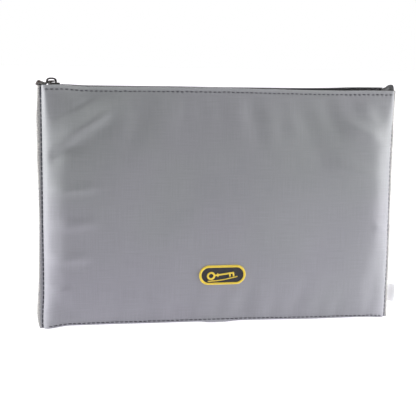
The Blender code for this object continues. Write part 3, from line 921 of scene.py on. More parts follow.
# Places (depth, height from the bottom seam) of the cloth below the bottom seam, in millimetres: the front
# wall's margin is turned back under the bag, and the back wall's cloth runs forward over that margin
FRONT_UNDER = [(3.4, -0.55), (4.6, -0.75), (5.9, -0.85), (7.2, -0.85), (8.3, -0.75), (9.0, -0.45)]
BACK_UNDER = [
    (-7.6, 2.3), (-5.8, 2.1), (-4.2, 1.8), (-2.6, 1.4), (-1.0, 1.0), (1.0, 0.6), (3.4, 0.1), (6.0, -0.4),
    (7.8, -0.65), (8.9, -0.6), (9.3, -0.3),
]


def ground_sag(x, y):
    """How far the underside hangs down to the ground in its middle: a bell along X and across Y."""
    along, across = ((x + 2 * MM) / (17 * MM)) ** 4, ((y + 1.5 * MM) / (5.6 * MM)) ** 2
    return 2.7 * MM * np.exp(-along) * np.exp(-across)


def rows_under(side, s):
    """Rows of cloth below the bottom seam, drawn in to the seam at both ends and lifted clear of the
    ground."""
    layer, full = sizes().layer, fullness(s, 0)
    seam = bottom_height(side, seam_x() * s)
    rows = []
    for depth, lift in np.array(FRONT_UNDER if side < 0 else BACK_UNDER) * MM:
        share = full ** (1.8 if depth < 0 else 1.0)
        y = side * (layer + (depth - layer) * share)
        x = place_across(s, 0)
        z = seam + lift * share - ground_sag(x, y)
        rows.append(np.stack([x, y, np.maximum(z, 0.45 * MM)], axis=-1))
    return rows


def rows_over_hem(side, s, top):
    """Rows that turn over the hem in a half circle, drawn in at the seams, and run down its inside."""
    radius = 0.8 * MM
    room = smooth(fullness(s, 1) * 1.4 - 0.2)
    rows = []
    for a in np.linspace(0, math.pi, 6)[1:]:
        over = top.copy()
        over[:, 1] -= side * radius * (1 - math.cos(a)) * (0.35 + 0.65 * room)
        over[:, 2] += radius * math.sin(a)
        rows.append(over)
    for drop in (1.5, 3.5, 6.0, 9.0):
        inner = rows[-1].copy()
        inner[:, 2] = top[:, 2] - drop * MM
        inner[:, 0] *= 1 - 0.002
        rows.append(inner)
    return rows


def with_margins(side, points, first_fold):
    """The grid with three more columns at each side, out to the cut edge. Both are wavy in X and in Y, and
    lie half the gap of the sewn walls from the middle plane. From row first_fold on, the folded hem lies
    flat."""
    z = points[:, 0, 2]
    left_out = -table_curve(z, LEFT_EDGE, 4) + 0.2 * MM * np.sin(z / (6.5 * MM) + side)
    right_out = table_curve(z, RIGHT_EDGE, 4) - 0.15 * MM * np.sin(z / (7.3 * MM) + side)
    gap = side * layer_gap(np.clip(z / sizes().hem_top, 0, 1))
    wave = 0.18 * MM * np.sin(z / (5.2 * MM) + 1.3 * np.sin(z / (14 * MM))) * (1 if side < 0 else 0.8)
    steps = np.array([0, 0.34, 0.67])
    blocks = []
    for edge, out, shares in ((points[:, :1], left_out, steps), (points[:, -1:], right_out, steps[::-1])):
        block = np.repeat(edge, 3, axis=1)
        block[..., 0] = out[:, None] + (edge[..., 0] - out[:, None]) * shares
        block[..., 1] = gap[:, None] + wave[:, None] * (1 - shares)
        block[first_fold:, :, 1] = gap[first_fold:, None]
        blocks.append(block)
    return np.concatenate([blocks[0], points, blocks[1]], axis=1)


def panel_points(wall):
    """The whole cut of one wall's cloth as a grid: rows under the bag, up the wall, over the hem and down
    its inside, and columns from one cut edge to the other through both margins."""
    side = wall.side
    s = columns_across(221)
    t = np.linspace(0, 1, 133)
    h = 0.45 * t + 0.55 * (1 - np.cos(math.pi * t)) / 2
    rows = rows_under(side, s)
    rows.extend(wall.at(s[None], h[:, None]))
    first_fold = len(rows)
    rows.extend(rows_over_hem(side, s, rows[-1]))
    return with_margins(side, np.array(rows), first_fold)


def flat_places(points):
    """UVs in metres: how far each point lies across its row from the middle, and how far up the middle
    column its row lies."""
    across, up = distances(points, 1), distances(points, 0)
    across = across - across[:, across.shape[1] // 2][:, None]
    middle = points.shape[1] // 2
    return np.stack([across, np.broadcast_to(up[:, middle : middle + 1], across.shape)], axis=-1)


def make_panel(wall, node, finish):
    """One outer wall, with an attribute that grows towards its cut edges and carries the painted highlight of
    its margins.
    """
    points = panel_points(wall)
    uv = flat_places(points)
    if wall.side > 0:
        points, uv = points[:, ::-1], uv[:, ::-1]
    piece = sheet_piece(node + "_cloth", points, uv, finish, "cloth", sizes().cloth)
    x = np.abs(points[..., 0])
    # How strongly the cloth is painted paler as a painted highlight, growing from the side seam out to the
    # cut edge.
    rub = smooth((x - seam_x() - 0.6 * MM) / (3.4 * MM)) * 0.85
    attribute = piece.data.attributes.new("rub", "FLOAT", "POINT")
    attribute.data.foreach_set("value", rub.ravel().astype(np.float32))
    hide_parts(node)
    rides_on_wall(piece, wall.side)


LINING_FLOOR = 8.0 * MM  # the lowest height of a lining


def make_lining(wall, node, finish):
    """The lining follows the wall a little inside it, and closes towards the other lining at its bottom
    seam."""
    bag, side = sizes(), wall.side
    s = columns_across(81)[1:-1]
    h = np.linspace(0.0, 0.955, 50)
    grid_s, grid_h = np.meshgrid(s, h)
    inset = bag.cloth / 2 + bag.lining / 2 + 0.35 * MM
    points = wall.at(grid_s, grid_h) - wall.normal(grid_s, grid_h) * inset
    points[..., 2] = np.maximum(points[..., 2], LINING_FLOOR)
    close = smooth(1 - grid_h / 0.06)
    points[..., 1] += (side * 0.5 * MM - points[..., 1]) * close
    points[..., 1] = side * np.maximum(side * points[..., 1], 0.4 * MM)
    uv = flat_places(points)
    if side > 0:
        points, uv = points[:, ::-1], uv[:, ::-1]
    piece = sheet_piece(node + "_cloth", points, uv, finish, "lining", bag.lining)
    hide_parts(node)
    rides_on_wall(piece, side)


THREAD_RINGS = np.linspace(-1, 1, 7)  # places along one short thread, from end to end


def short_threads(centres, along, out, half, lift, width, height):
    """Short threads side by side, each on its centre: half its length along, lifted outwards by lift, with
    the given half width and half height at each ring."""
    along, out = unit(along), unit(out)
    across = unit(np.cross(along, out))
    count = len(THREAD_RINGS)
    reach = along[:, None] * (half * THREAD_RINGS)[None, :, None]
    paths = centres[:, None] + reach + out[:, None] * lift[None, :, None]
    shape = (len(centres), count)
    normals, sideways = np.repeat(out[:, None], count, axis=1), np.repeat(across[:, None], count, axis=1)
    return tubes(paths, normals, sideways, np.broadcast_to(width, shape), np.broadcast_to(height, shape))


def stitch_row(name, node, wall_side, centres, along, out, finish, reach=0.40, thick=1.0):
    """A row of separate stitches: each is a short thread whose ends dive into the cloth, by the cube of the
    distance from its middle."""
    bag = sizes()
    thread, q = bag.thread * thick, np.abs(THREAD_RINGS)
    lift = thread * (0.75 - 1.9 * q**3)
    width, height = thread * (1.12 - 0.35 * q**2), thread * (0.88 - 0.3 * q**2)
    points, faces, uv = short_threads(centres, along, out, bag.stitch * reach, lift, width, height)
    piece = make_piece(name, points, faces, finish, "thread", uv)
    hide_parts(node)
    rides_on_wall(piece, wall_side)


def make_top_stitches(wall, node, finish):
    """The row below the hem: evenly spaced along X, with a small random shift up or down."""
    bag = sizes()
    half = seam_x() - 1.2 * MM
    count = int(2 * half / bag.stitch)
    x = (np.arange(count) - (count - 1) / 2) * bag.stitch
    wobble = np.random.default_rng(5 + wall.side).normal(0, 0.12 * MM, count)
    s, h = x / seam_x(), share_up(wall.side, x, bag.top_row + wobble)
    out = wall.normal(s, h)
    centres = wall.at(s, h) + out * (bag.cloth / 2 + 0.05 * MM)
    along = wall.at(s + 0.004, h) - wall.at(s - 0.004, h)
    stitch_row(node + "_thread", node, wall.side, centres, along, out, finish)


def make_side_stitches(wall, x_side, node, finish):
    """The row up a side seam: evenly spaced in height, on the face of the margin just outside the seam."""
    bag = sizes()
    z = np.arange(2.6 * MM, bag.hem_top - 1 * MM, bag.stitch)
    h = np.clip(z / bag.hem_top, 0, 1)
    x = x_side * (seam_at(x_side, z) + 0.85 * MM)
    y = wall.side * (layer_gap(h) + bag.cloth / 2 + 0.05 * MM)
    centres = np.stack([x, y, z], axis=1)
    along = np.gradient(centres, axis=0)
    out = np.tile((0.0, wall.side, 0.0), (len(z), 1))
    stitch_row(node + "_thread", node, wall.side, centres, along, out, finish, 0.47, 1.35)


def make_bottom_stitches(wall, node, finish):
    """The row along the bottom seam: evenly spaced along X, on the cloth just above the seam."""
    bag = sizes()
    half = seam_x() - 4 * MM
    count = int(2 * half / bag.stitch)
    x = (np.arange(count) - (count - 1) / 2) * bag.stitch
    s, h = x / seam_x(), np.full(count, 0.006)
    out = wall.normal(s, h + 0.006)
    centres = wall.at(s, h) + out * (bag.cloth / 2 + 0.05 * MM)
    along = wall.at(s + 0.004, h) - wall.at(s - 0.004, h)
    stitch_row(node + "_thread", node, wall.side, centres, along, out, finish, 0.44, 1.1)


def make_bar_tacks(finish):
    """Dense tacks that lock the side seams at their ends: short slanted threads side by side."""
    bag = sizes()
    centres, along, out = [], [], []
    for wall_side in (-1, 1):
        for x_side, z0, z1 in ((-1, 219.5, 226.5), (1, 217.5, 224.5), (1, 2.0, 5.0)):
            z = np.arange(z0 * MM, z1 * MM, 0.62 * MM)
            h = np.clip(z / bag.hem_top, 0, 1)
            x = x_side * (seam_at(x_side, z) + 0.9 * MM)
            y = wall_side * (layer_gap(h) + bag.cloth / 2 + 0.12 * MM)
            centres.append(np.stack([x, y, z], axis=1))
            along.append(np.tile((1.0, 0.0, 0.22), (len(z), 1)))
            out.append(np.tile((0.0, wall_side, 0.0), (len(z), 1)))
    centres, along, out = (np.concatenate(v) for v in (centres, along, out))
    lift = 0.3 * MM * (0.6 - 1.8 * np.abs(THREAD_RINGS) ** 3)
    points, faces, uv = short_threads(centres, along, out, 1.0 * MM, lift, 0.36 * MM, 0.3 * MM)
    piece = make_piece("seam_bar_tacks", points, faces, finish, "thread", uv)
    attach(piece, "bag")


# The zip


def pinch(x):
    """How far the zip's tapes have turned from lying flat to standing up, pinched in a side seam."""
    return smooth((np.abs(x) - (seam_x() - 8.5 * MM)) / (8.0 * MM))


def tape_points(side):
    """Section of a tape carried along the zip: flat beside the coil, then down inside the hem. At both ends
    it turns upright into the side seam and its corner is rounded off."""
    right_end = np.linspace(158, 174.2, 26)
    x = np.concatenate([-right_end[::-1], np.linspace(-156, 156, 105), right_end]) * MM
    flat_y = np.array([0.75, 2.2, 3.6, 4.9, 5.7, 6.05, 6.15, 6.2, 6.3]) * MM
    flat_z = np.array([0, 0, 0, -0.15, -0.6, -1.5, -3.0, -7.0, -12.0]) * MM
    up_z = np.array([3.6, 2.0, 0.2, -1.6, -3.1, -4.6, -6.2, -9.5, -13.0]) * MM
    rise = table_curve(x, TAPE_RISE, 2.5) - zip_sag(x)
    base = (TAPE_HIGH.z - 0.25 * MM) + rise
    dip = np.maximum(sizes().hem_top - hem_height(side, x) + rise, 0)[:, None]
    lower = dip * smooth((flat_y[None] - 3.4 * MM) / (2.4 * MM))
    share = pinch(x)[:, None]
    y = flat_y[None] * (1 - share) + (0.28 * MM) * share
    z = flat_z[None] * (1 - share) + up_z[None] * share - lower * (1 - share)
    z = base[:, None] + z
    corner = np.clip((np.abs(x) - 171.0 * MM) / (3.2 * MM), 0, 1)
    drop = 3.6 * MM * (1 - np.sqrt(1 - np.minimum(corner, 0.999) ** 2))
    z = np.minimum(z, z[:, :1] - drop[:, None] - (np.arange(9) * 0.12 * MM)[None] * (share > 0.5))
    left_low = 3.0 * MM * smooth((-x - 158 * MM) / (10 * MM))
    z = z - left_low[:, None]
    points = np.stack([np.repeat(x[:, None], 9, axis=1), side * y, z], axis=-1)
    return points.transpose(1, 0, 2)


def make_tape(side, node, finish):
    """One tape of the zip as a sheet."""
    points = tape_points(side)
    uv = flat_places(points)
    if side > 0:
        points, uv = points[:, ::-1], uv[:, ::-1]
    piece = sheet_piece(node + "_cloth", points, uv, finish, "tape", 0.45 * MM)
    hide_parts(node)
    rides_on_wall(piece, side)


def coil_spread(x):
    """How far a coil stands out beside the slider's wedge and past it."""
    middle = (SLIDER_LOW.x + SLIDER_HIGH.x) / 2
    return 1.45 * MM * smooth((middle - 0.5 * MM - x) / (4.5 * MM))


def make_coil(side, node, finish, thread):
    """One half of the zip: a monofilament wound in a flat helix, each turn an ellipse with a high power,
    half a pitch behind the other half's. Two lines of thread lie over it and sew it to its tape."""
    pitch = sizes().tooth
    turns = int((COIL_HIGH.x - COIL_LOW.x) / pitch) - 1
    steps = 10
    a = 2 * math.pi * np.arange(turns * steps + 1) / steps
    x = COIL_LOW.x + 0.8 * MM + pitch * (a / (2 * math.pi) + (0.5 if side > 0 else 0.0))
    wire = 0.36 * MM
    c, d = np.cos(a), np.sin(a)
    round_c, round_d = signed_power(c, 0.7), signed_power(d, 0.7)
    reach, back = -0.12 * MM, 2.7 * MM
    middle_z = (COIL_LOW.z + COIL_HIGH.z) / 2
    half_z = (COIL_HIGH.z - COIL_LOW.z) / 2 - wire
    y = (reach + back) / 2 - round_c * (back - reach) / 2 + coil_spread(x)
    z = middle_z + half_z * round_d - zip_sag(x)
    path = np.stack([x, side * y, z], axis=1)
    outward = np.stack([np.zeros_like(x), -side * round_c * 0.6, round_d], axis=1)
    tangent = unit(np.gradient(path, axis=0))
    outward = unit(outward - tangent * np.sum(outward * tangent, axis=1, keepdims=True))
    across = np.cross(tangent, outward)
    shape = (1, len(path))
    size = np.full(shape, wire)
    coil = tubes(path[None], outward[None], across[None], size, size)
    piece = make_piece(node + "_turns", *coil[:2], finish, "coil", coil[2])
    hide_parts(node)
    rides_on_wall(piece, side)
    x = np.linspace(COIL_LOW.x + 1 * MM, COIL_HIGH.x - 1 * MM, turns * 3)
    wave = np.sin(2 * math.pi * (x - COIL_LOW.x) / pitch)
    lines = []
    for offset in (1.75, 2.35):
        y = offset * MM + coil_spread(x) + 0.12 * MM * wave
        z = COIL_HIGH.z + 0.1 * MM - zip_sag(x) + 0.1 * MM * wave
        lines.append(np.stack([x, side * y, z], axis=1))
    paths = np.array(lines)
    tangent = unit(np.gradient(paths, axis=1))
    up = np.tile((0.0, 0.0, 1.0), paths.shape[:2] + (1,))
    shape = paths.shape[:2]
    width, height = np.full(shape, 0.2 * MM), np.full(shape, 0.16 * MM)
    sewn = tubes(paths, up, unit(np.cross(tangent, up)), width, height, sides=4)
    piece = make_piece(node + "_sewing", *sewn[:2], thread, "thread", sewn[2])
    rides_on_wall(piece, side)


def block(low, high, power=4.0, rows=13, columns=24):
    """A rounded block: a sphere's sine and cosine raised to a small power, stretched to its corners. Poles
    are closed by fans."""
    low, high = np.array(low), np.array(high)
    v = np.linspace(-math.pi / 2, math.pi / 2, rows)[1:-1]
    u = np.linspace(0, 2 * math.pi, columns, endpoint=False)
    flat = signed_power(np.cos(v), 2 / power)[:, None]
    x = flat * signed_power(np.cos(u), 2 / power)[None]
    y = flat * signed_power(np.sin(u), 2 / power)[None]
    z = np.repeat(signed_power(np.sin(v), 2 / power)[:, None], columns, axis=1)
    ring = np.stack([x, y, z], axis=-1)
    points = np.concatenate([ring.reshape(-1, 3), [[0, 0, -1], [0, 0, 1]]])
    points = (low + high) / 2 + points * (high - low) / 2
    faces, _, _ = grid_faces(rows - 2, columns, around=True)
    k = np.arange(columns)
    base, top = (rows - 2) * columns, (rows - 3) * columns
    low_fan = np.stack([np.full(columns, base), (k + 1) % columns, k], axis=1)
    high_fan = np.stack([np.full(columns, base + 1), top + k, top + (k + 1) % columns], axis=1)
    fans = np.concatenate([low_fan, high_fan])
    return points, [faces, fans], np.zeros((faces.size + fans.size, 2))


def crimp(node, blocks, finish):
    """A crimped metal stop made of rounded blocks."""
    points, faces, uv = joined(blocks)
    piece = make_piece(node + "_crimp", points, faces, finish, "metal", uv)
    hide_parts(node)
    return piece


def make_stops(finish):
    """Crimped metal stops: two rounded blocks side by side on each coil, and a block with a band over it
    across both. Their feet reach a little below their nodes, into the tape."""
    foot = Vector((0, 0, -0.6 * MM))
    jaw = 0.98 * MM
    for side, node in ((-1, "zip_top_stop_front"), (1, "zip_top_stop_back")):
        low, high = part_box(node)
        sag = Vector((0, 0, float(zip_sag(low.x))))
        blocks = []
        for k in range(2):
            x = low.x + k * 1.05 * MM
            first, last = Vector((x, low.y, low.z)), Vector((x + jaw, high.y, high.z))
            blocks.append(block(first + foot - sag, last - sag, 5))
        rides_on_wall(crimp(node, blocks, finish), side)
    sag = Vector((0, 0, float(zip_sag(STOP_LOW.x))))
    band_low = Vector((STOP_LOW.x + 0.5 * MM, -1.5 * MM, STOP_LOW.z))
    band_high = Vector((STOP_HIGH.x - 0.5 * MM, 1.5 * MM, STOP_HIGH.z + 0.35 * MM))
    blocks = [block(STOP_LOW + foot - sag, STOP_HIGH - sag, 6), block(band_low - sag, band_high - sag, 4)]
    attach(crimp("zip_bottom_stop", blocks, finish), "bag")


def slab(outline, low, high, fillet, steps=4):
    """A flat outline (N, 2) anticlockwise, as a slab from low to high with quarter-round edges: rings inset
    along the outline's normals by one less the sine, closed by a face at both ends."""
    edge = np.roll(outline, -1, axis=0) - np.roll(outline, 1, axis=0)
    normal = unit(np.stack([edge[:, 1], -edge[:, 0]], axis=1))
    a = np.linspace(0, math.pi / 2, steps)
    insets = np.concatenate([fillet * (1 - np.sin(a)), fillet * (1 - np.sin(a))[::-1]])
    heights = np.concatenate([low + fillet * (1 - np.cos(a)), high - fillet * (1 - np.cos(a))[::-1]])
    rings = outline[None] - normal[None] * insets[:, None, None]
    points = np.concatenate([rings, np.broadcast_to(heights[:, None, None], rings.shape[:2] + (1,))], axis=2)
    count = len(outline)
    faces, _, _ = grid_faces(len(heights), count, around=True)
    caps = np.stack([np.arange(count)[::-1], np.arange(count) + (len(heights) - 1) * count])
    return points.reshape(-1, 3), [faces, caps], np.zeros((faces.size + caps.size, 2))


def rounded_outline(corners, radius, steps=4):
    """An outline through corners, anticlockwise, with each corner rounded by a parabola."""
    corners = np.array(corners, float)
    out = []
    for k in range(len(corners)):
        here = corners[k]
        before, after = corners[k - 1] - here, corners[(k + 1) % len(corners)] - here
        r = min(radius, 0.45 * np.linalg.norm(before), 0.45 * np.linalg.norm(after))
        a, b = here + before / np.linalg.norm(before) * r, here + after / np.linalg.norm(after) * r
        for t in np.linspace(0, 1, steps + 1):
            out.append((1 - t) ** 2 * a + 2 * t * (1 - t) * here + t**2 * b)
    return np.array(out)


def mirrored(outline):
    """An outline's places with Y turned over, in an order that keeps it anticlockwise."""
    return [(x, -y) for x, y in reversed(outline)]


def slider_plan(nose, tail, half):
    """The slider's plates from above: widest a little behind the nose, and narrower towards the tail."""
    side = [
        (nose, -half * 0.62),
        (nose + 1.2 * MM, -half * 0.93),
        (nose + 3.6 * MM, -half),
        (nose + 7.5 * MM, -half * 0.86),
        (tail - 0.6 * MM, -half * 0.76),
        (tail, -half * 0.5),
    ]
    return rounded_outline(side + mirrored(side), 2.2 * MM, 5)


def flange_plan(nose, tail, half, side):
    """The flange along one side of the slider, from above."""
    flange = [
        (nose + 1.6 * MM, half * 0.78),
        (tail - 1.0 * MM, half * 0.6),
        (tail - 1.0 * MM, half * 0.76),
        (nose + 7.5 * MM, half * 0.86),
        (nose + 3.6 * MM, half * 0.995),
        (nose + 1.6 * MM, half * 0.93),
    ]
    return rounded_outline(flange if side > 0 else mirrored(flange), 0.8 * MM, 3)


def wedge_plan(nose):
    """The wedge at the nose that parts the two coils, from above."""
    wedge = [(0.4, 0.75), (0.4, -0.75), (3.0, -0.6), (4.4, 0), (3.0, 0.6)]
    return rounded_outline(np.array(wedge) * MM + (nose, 0), 0.4 * MM, 2)


def make_slider(finish):
    """The slider: two waisted plates joined by a wedge at the nose, side flanges, and a crown that arches
    over."""
    low, high = SLIDER_LOW, SLIDER_HIGH
    nose, tail = low.x, high.x - 2.8 * MM
    half = high.y
    plan = slider_plan(nose, tail, half)
    plate_top = high.z - 4.6 * MM
    parts = [
        slab(plan, plate_top - 1.15 * MM, plate_top, 0.4 * MM),
        slab(plan * (1, 0.66), low.z, low.z + 1.1 * MM, 0.35 * MM),
    ]
    for side in (-1, 1):
        flange = flange_plan(nose, tail, half, side)
        parts.append(slab(flange, plate_top - 3.6 * MM, plate_top - 0.5 * MM, 0.25 * MM))
    parts.append(slab(wedge_plan(nose), low.z + 0.6 * MM, plate_top - 0.6 * MM, 0.1 * MM))
    parts.append(crown_arch(plate_top, high.z))
    points, faces, uv = joined(parts)
    piece = make_piece("slider_casting", points, faces, finish, "metal", uv)
    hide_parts("slider_body")
    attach(piece, "slider")
    smooth_by_angle(piece)


PIVOT = Vector(frame["record"]["behaviour"]["joints"][1]["pos_m"])  # where the pull tab swings on the crown
# The pull tab's height along its length from its pivot: it drops off the slider, rises and hooks down
TAB_BEND = [
    (0, 0), (3, 0), (5, -0.5), (6.6, -1.8), (8.5, -2.4), (11, -1.9), (13.5, -1.2), (15.2, -1.7), (17, -3.3),
]


def crown_arch(low, high):
    """The crown: a rounded bar carried along a flattened half ellipse, wider at its feet."""
    count = 29
    a = np.linspace(math.pi + 0.35, -0.35, count)
    half, rise = 4.2 * MM, high - low - 0.8 * MM
    c, s = np.cos(a), np.sin(a)
    x = PIVOT.x - 2.1 * MM + half * signed_power(c, 0.7)
    z = low + np.where(s > 0, rise * np.abs(s) ** 0.62, 1.6 * MM * s)
    path = np.stack([x, np.zeros(count), z], axis=1)
    tangent = unit(np.gradient(path, axis=0))
    across = np.tile((0.0, 1.0, 0.0), (count, 1))
    out = unit(np.cross(across, tangent))
    wide = 1.1 * MM + 0.35 * MM * np.abs(c) ** 3
    thick = 0.8 * MM + 0.2 * MM * np.abs(c) ** 2
    return tubes(path[None], out[None], across[None], wide[None], thick[None], sides=12)


def smooth_by_angle(piece):
    """Marks edges sharper than a right angle's third as sharp, so flat faces stay flat."""
    mesh = bmesh.new()
    mesh.from_mesh(piece.data)
    bmesh.ops.recalc_face_normals(mesh, faces=mesh.faces)
    for edge in mesh.edges:
        edge.smooth = edge.calc_face_angle(math.pi) < math.radians(32)
    mesh.to_mesh(piece.data)
    mesh.free()


TAB_HALF = 2.3 * MM  # half of the pull tab's width at its loop
TAB_TIP = 3.4 * MM  # radius of its round end
TAB_THICK = 0.72 * MM  # half of its thickness
TAB_REACH = (PIVOT.x - TAB_LOW.x) / math.cos(math.radians(6))  # its length along itself


def tab_outlines():
    """The flat pull tab, its window and its hole, all anticlockwise: the loop's end is square, its waist
    narrows, and its round end is an arc of a circle."""
    half, tip_x = TAB_HALF, TAB_TIP - TAB_REACH
    loop = [(0.75 * MM, half), (-5.9 * MM, half), (-7.6 * MM, 1.75 * MM)]
    a = np.radians(np.linspace(55, 305, 19))
    tip = np.stack([tip_x + TAB_TIP * np.cos(a), TAB_TIP * np.sin(a)], axis=1)
    plate = rounded_outline(loop + [tuple(p) for p in tip] + mirrored(loop), 0.7 * MM, 2)
    corners = [(-0.75, -1.45), (-0.75, 1.45), (-5.2, 1.2), (-5.2, -1.2)]
    window = rounded_outline(np.array(corners) * MM, 0.9 * MM, 4)
    b = np.linspace(0, 2 * math.pi, 24, endpoint=False)
    hole = np.stack([tip_x + 1.0 * MM * np.cos(b), 1.0 * MM * np.sin(b)], axis=1)
    return plate, window, hole


def cut_through(piece, name, outline):
    """Cuts an outline through a plate that lies in the XY plane."""
    mesh = bpy.data.meshes.new(name)
    fill_mesh(mesh, *slab(outline, -3 * TAB_THICK, 3 * TAB_THICK, 0.01 * MM, 2)[:2])
    cutter = bpy.data.objects.new(name, mesh)
    bpy.context.collection.objects.link(cutter)
    step = piece.modifiers.new(name, "BOOLEAN")
    step.operation = "DIFFERENCE"
    step.solver = "EXACT"
    step.object = cutter
    apply_modifiers(piece)
    bpy.data.objects.remove(cutter)


def bend_tab(mesh):
    """Bends the flat plate along its table, twists it about its length, and moves it to its pivot."""
    points = np.empty(len(mesh.vertices) * 3, np.float32)
    mesh.vertices.foreach_get("co", points)
    x, y, z = points.reshape(-1, 3).astype(float).T
    out = np.clip(-x / TAB_REACH, 0, 1)
    rise = table_curve(out * TAB_REACH, TAB_BEND, 1.2)
    twist = math.radians(30) * smooth((out - 0.12) / 0.6)
    across = y * np.cos(twist) - z * np.sin(twist)
    up = y * np.sin(twist) + z * np.cos(twist) + rise
    along = x * (1 - 0.02 * smooth((out - 0.72) / 0.3))
    bent = np.stack([PIVOT.x + along, across, PIVOT.z + up], axis=1)
    mesh.vertices.foreach_set("co", bent.astype(np.float32).ravel())
    mesh.update()


def make_pull_tab(finish):
    """The pull tab lies back over the end of the bag: a waisted plate with a loop round the crown and a
    round end with a hole in it. The holes are cut through before it is bent."""
    plate, window, hole = tab_outlines()
    points, faces, uv = slab(plate, -TAB_THICK, TAB_THICK, 0.36 * MM, 4)
    piece = make_piece("pull_tab_plate", points, faces, finish, "metal", uv)
    cut_through(piece, "window", window)
    cut_through(piece, "hole", hole)
    shape = bmesh.new()
    shape.from_mesh(piece.data)
    bmesh.ops.recalc_face_normals(shape, faces=shape.faces)
    bmesh.ops.triangulate(shape, faces=[f for f in shape.faces if len(f.verts) > 4])
    shape.to_mesh(piece.data)
    shape.free()
    bend_tab(piece.data)
    smooth_by_angle(piece)
    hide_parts("pull_tab")
    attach(piece, "tab")


def apply_modifiers(piece):
    """Replaces the piece's mesh by what its modifiers make of it."""
    done = bpy.data.meshes.new_from_object(piece.evaluated_get(bpy.context.evaluated_depsgraph_get()))
    old = piece.data
    piece.modifiers.clear()
    piece.data = done
    bpy.data.meshes.remove(old)


# The badge


def on_badge(wall, x, z, proud):
    """Places a height above the front wall's cloth, at x and z on it."""
    s = x / seam_x()
    h = share_at(-1, x, z)
    return wall.at(s, h) + wall.normal(s, h) * (sizes().cloth / 2 + proud)


def badge_normal(wall, x, z):
    return wall.normal(x / seam_x(), share_at(-1, x, z))


def piece_parts(part, finish):
    """What make_piece needs of a (points, faces, uv) part sewn with the badge's thread."""
    points, faces, uv = part
    return points, faces, finish, "badge_yellow", uv


def stadium_path(width, height, count):
    """Places and outward directions round a stadium, evenly spaced, and how far along it each lies: two
    straight sides joined by two half circles, from the left end of the lower side."""
    r, straight = height / 2, width - height
    half_turn = math.pi * r
    t = np.arange(count) / count * (2 * straight + 2 * half_turn)
    second = t >= straight + half_turn
    here = t - (straight + half_turn) * second
    turning = here >= straight
    a = np.where(turning, (here - straight) / r, 0) - math.pi / 2
    along = np.where(turning, straight / 2, here - straight / 2)
    nx, nz = np.where(turning, np.cos(a), 0.0), np.where(turning, np.sin(a), -1.0)
    flip = np.where(second, -1.0, 1.0)
    return flip * (along + r * nx), flip * r * nz, flip * nx, flip * nz, t


SATIN_PITCH = 0.5 * MM  # from one satin stitch to the next
BADGE_RINGS = 960  # rings of the rim's tube


def make_badge(wall, black, yellow):
    """The badge: a twill stadium, a rim of satin stitches over its edge, and a key embroidered across
    it."""
    cx, cz = badge_centre()
    width, height = RIM_HIGH.x - RIM_LOW.x, RIM_HIGH.z - RIM_LOW.z
    rim = 2.4 * MM
    x, z, nx, nz, t = stadium_path(width - rim - 0.7 * MM, height - rim - 0.9 * MM, BADGE_RINGS)
    stitches = round(t[-1] / SATIN_PITCH)
    ridge = 1 + 0.085 * np.sin(2 * math.pi * stitches * np.arange(BADGE_RINGS) / BADGE_RINGS)
    step = 0.1 * MM
    normal = badge_normal(wall, cx + x, cz + z)
    centres = on_badge(wall, cx + x, cz + z, 0.15 * MM)
    across = unit(on_badge(wall, cx + x + nx * step, cz + z + nz * step, 0.15 * MM) - centres)
    half_width = rim / 2 * (0.97 + 0.03 * ridge)
    shape = [v[None] for v in (centres, normal, across, half_width, 1.05 * MM * ridge)]
    ring = tubes(*shape, sides=14, under=0.2, looped=True)
    piece = make_piece("badge_rim_satin", *piece_parts(ring, yellow))
    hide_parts("badge_rim")
    rides_with_front(piece)

    straight, r = (width - height) / 2, (height - rim) / 2
    u = np.sin(math.pi / 2 * np.linspace(-1, 1, 81))[None] * (straight + 0.97 * r)
    tall = np.sqrt(r**2 - np.maximum(np.abs(u) - straight, 0) ** 2)
    v = np.linspace(-1, 1, 27)[:, None] * tall
    u = np.broadcast_to(u, v.shape)
    points = on_badge(wall, cx + u, cz + v, 0.3 * MM)
    piece = sheet_piece("badge_twill", points, np.stack([u, v], axis=-1), black, "badge_black", 0.5 * MM)
    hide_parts("badge_backing")
    rides_with_front(piece)
    make_motif(wall, cx, cz, yellow)


KEY_TILT = math.radians(7)  # how far the key is turned up to the right


def stroke(wall, centre, path, half_width, count, looped=False):
    """A satin-stitched stroke: a ridged tube, flat below, along a path on the badge. path is (n, 2) in
    millimetres from the badge's centre."""
    path = np.array(path, float) * MM
    if looped:
        path = np.concatenate([path, path[:1]])
    steps = np.concatenate([[0], np.linalg.norm(np.diff(path, axis=0), axis=1).cumsum()])
    t = np.linspace(0, steps[-1], count, endpoint=not looped)
    x, z = np.interp(t, steps, path[:, 0]), np.interp(t, steps, path[:, 1])
    x, z = x * math.cos(KEY_TILT) - z * math.sin(KEY_TILT), x * math.sin(KEY_TILT) + z * math.cos(KEY_TILT)
    centres = on_badge(wall, centre[0] + x, centre[1] + z, 0.55 * MM)
    normal = badge_normal(wall, centre[0] + x, centre[1] + z)
    if looped:
        tangent = unit(np.roll(centres, -1, axis=0) - np.roll(centres, 1, axis=0))
    else:
        tangent = unit(np.gradient(centres, axis=0))
    ridge = 1 + 0.12 * np.sin(2 * math.pi * t / SATIN_PITCH)
    ends = np.ones(count) if looped else np.clip(1 - np.abs(2 * t / t[-1] - 1) ** 30, 0.15, 1) ** 0.5
    width = half_width * MM * (0.4 + 0.6 * ends)
    shape = [v[None] for v in (centres, normal, np.cross(tangent, normal), width, 0.5 * MM * ridge * ends)]
    return tubes(*shape, sides=12, under=0.3, looped=looped)


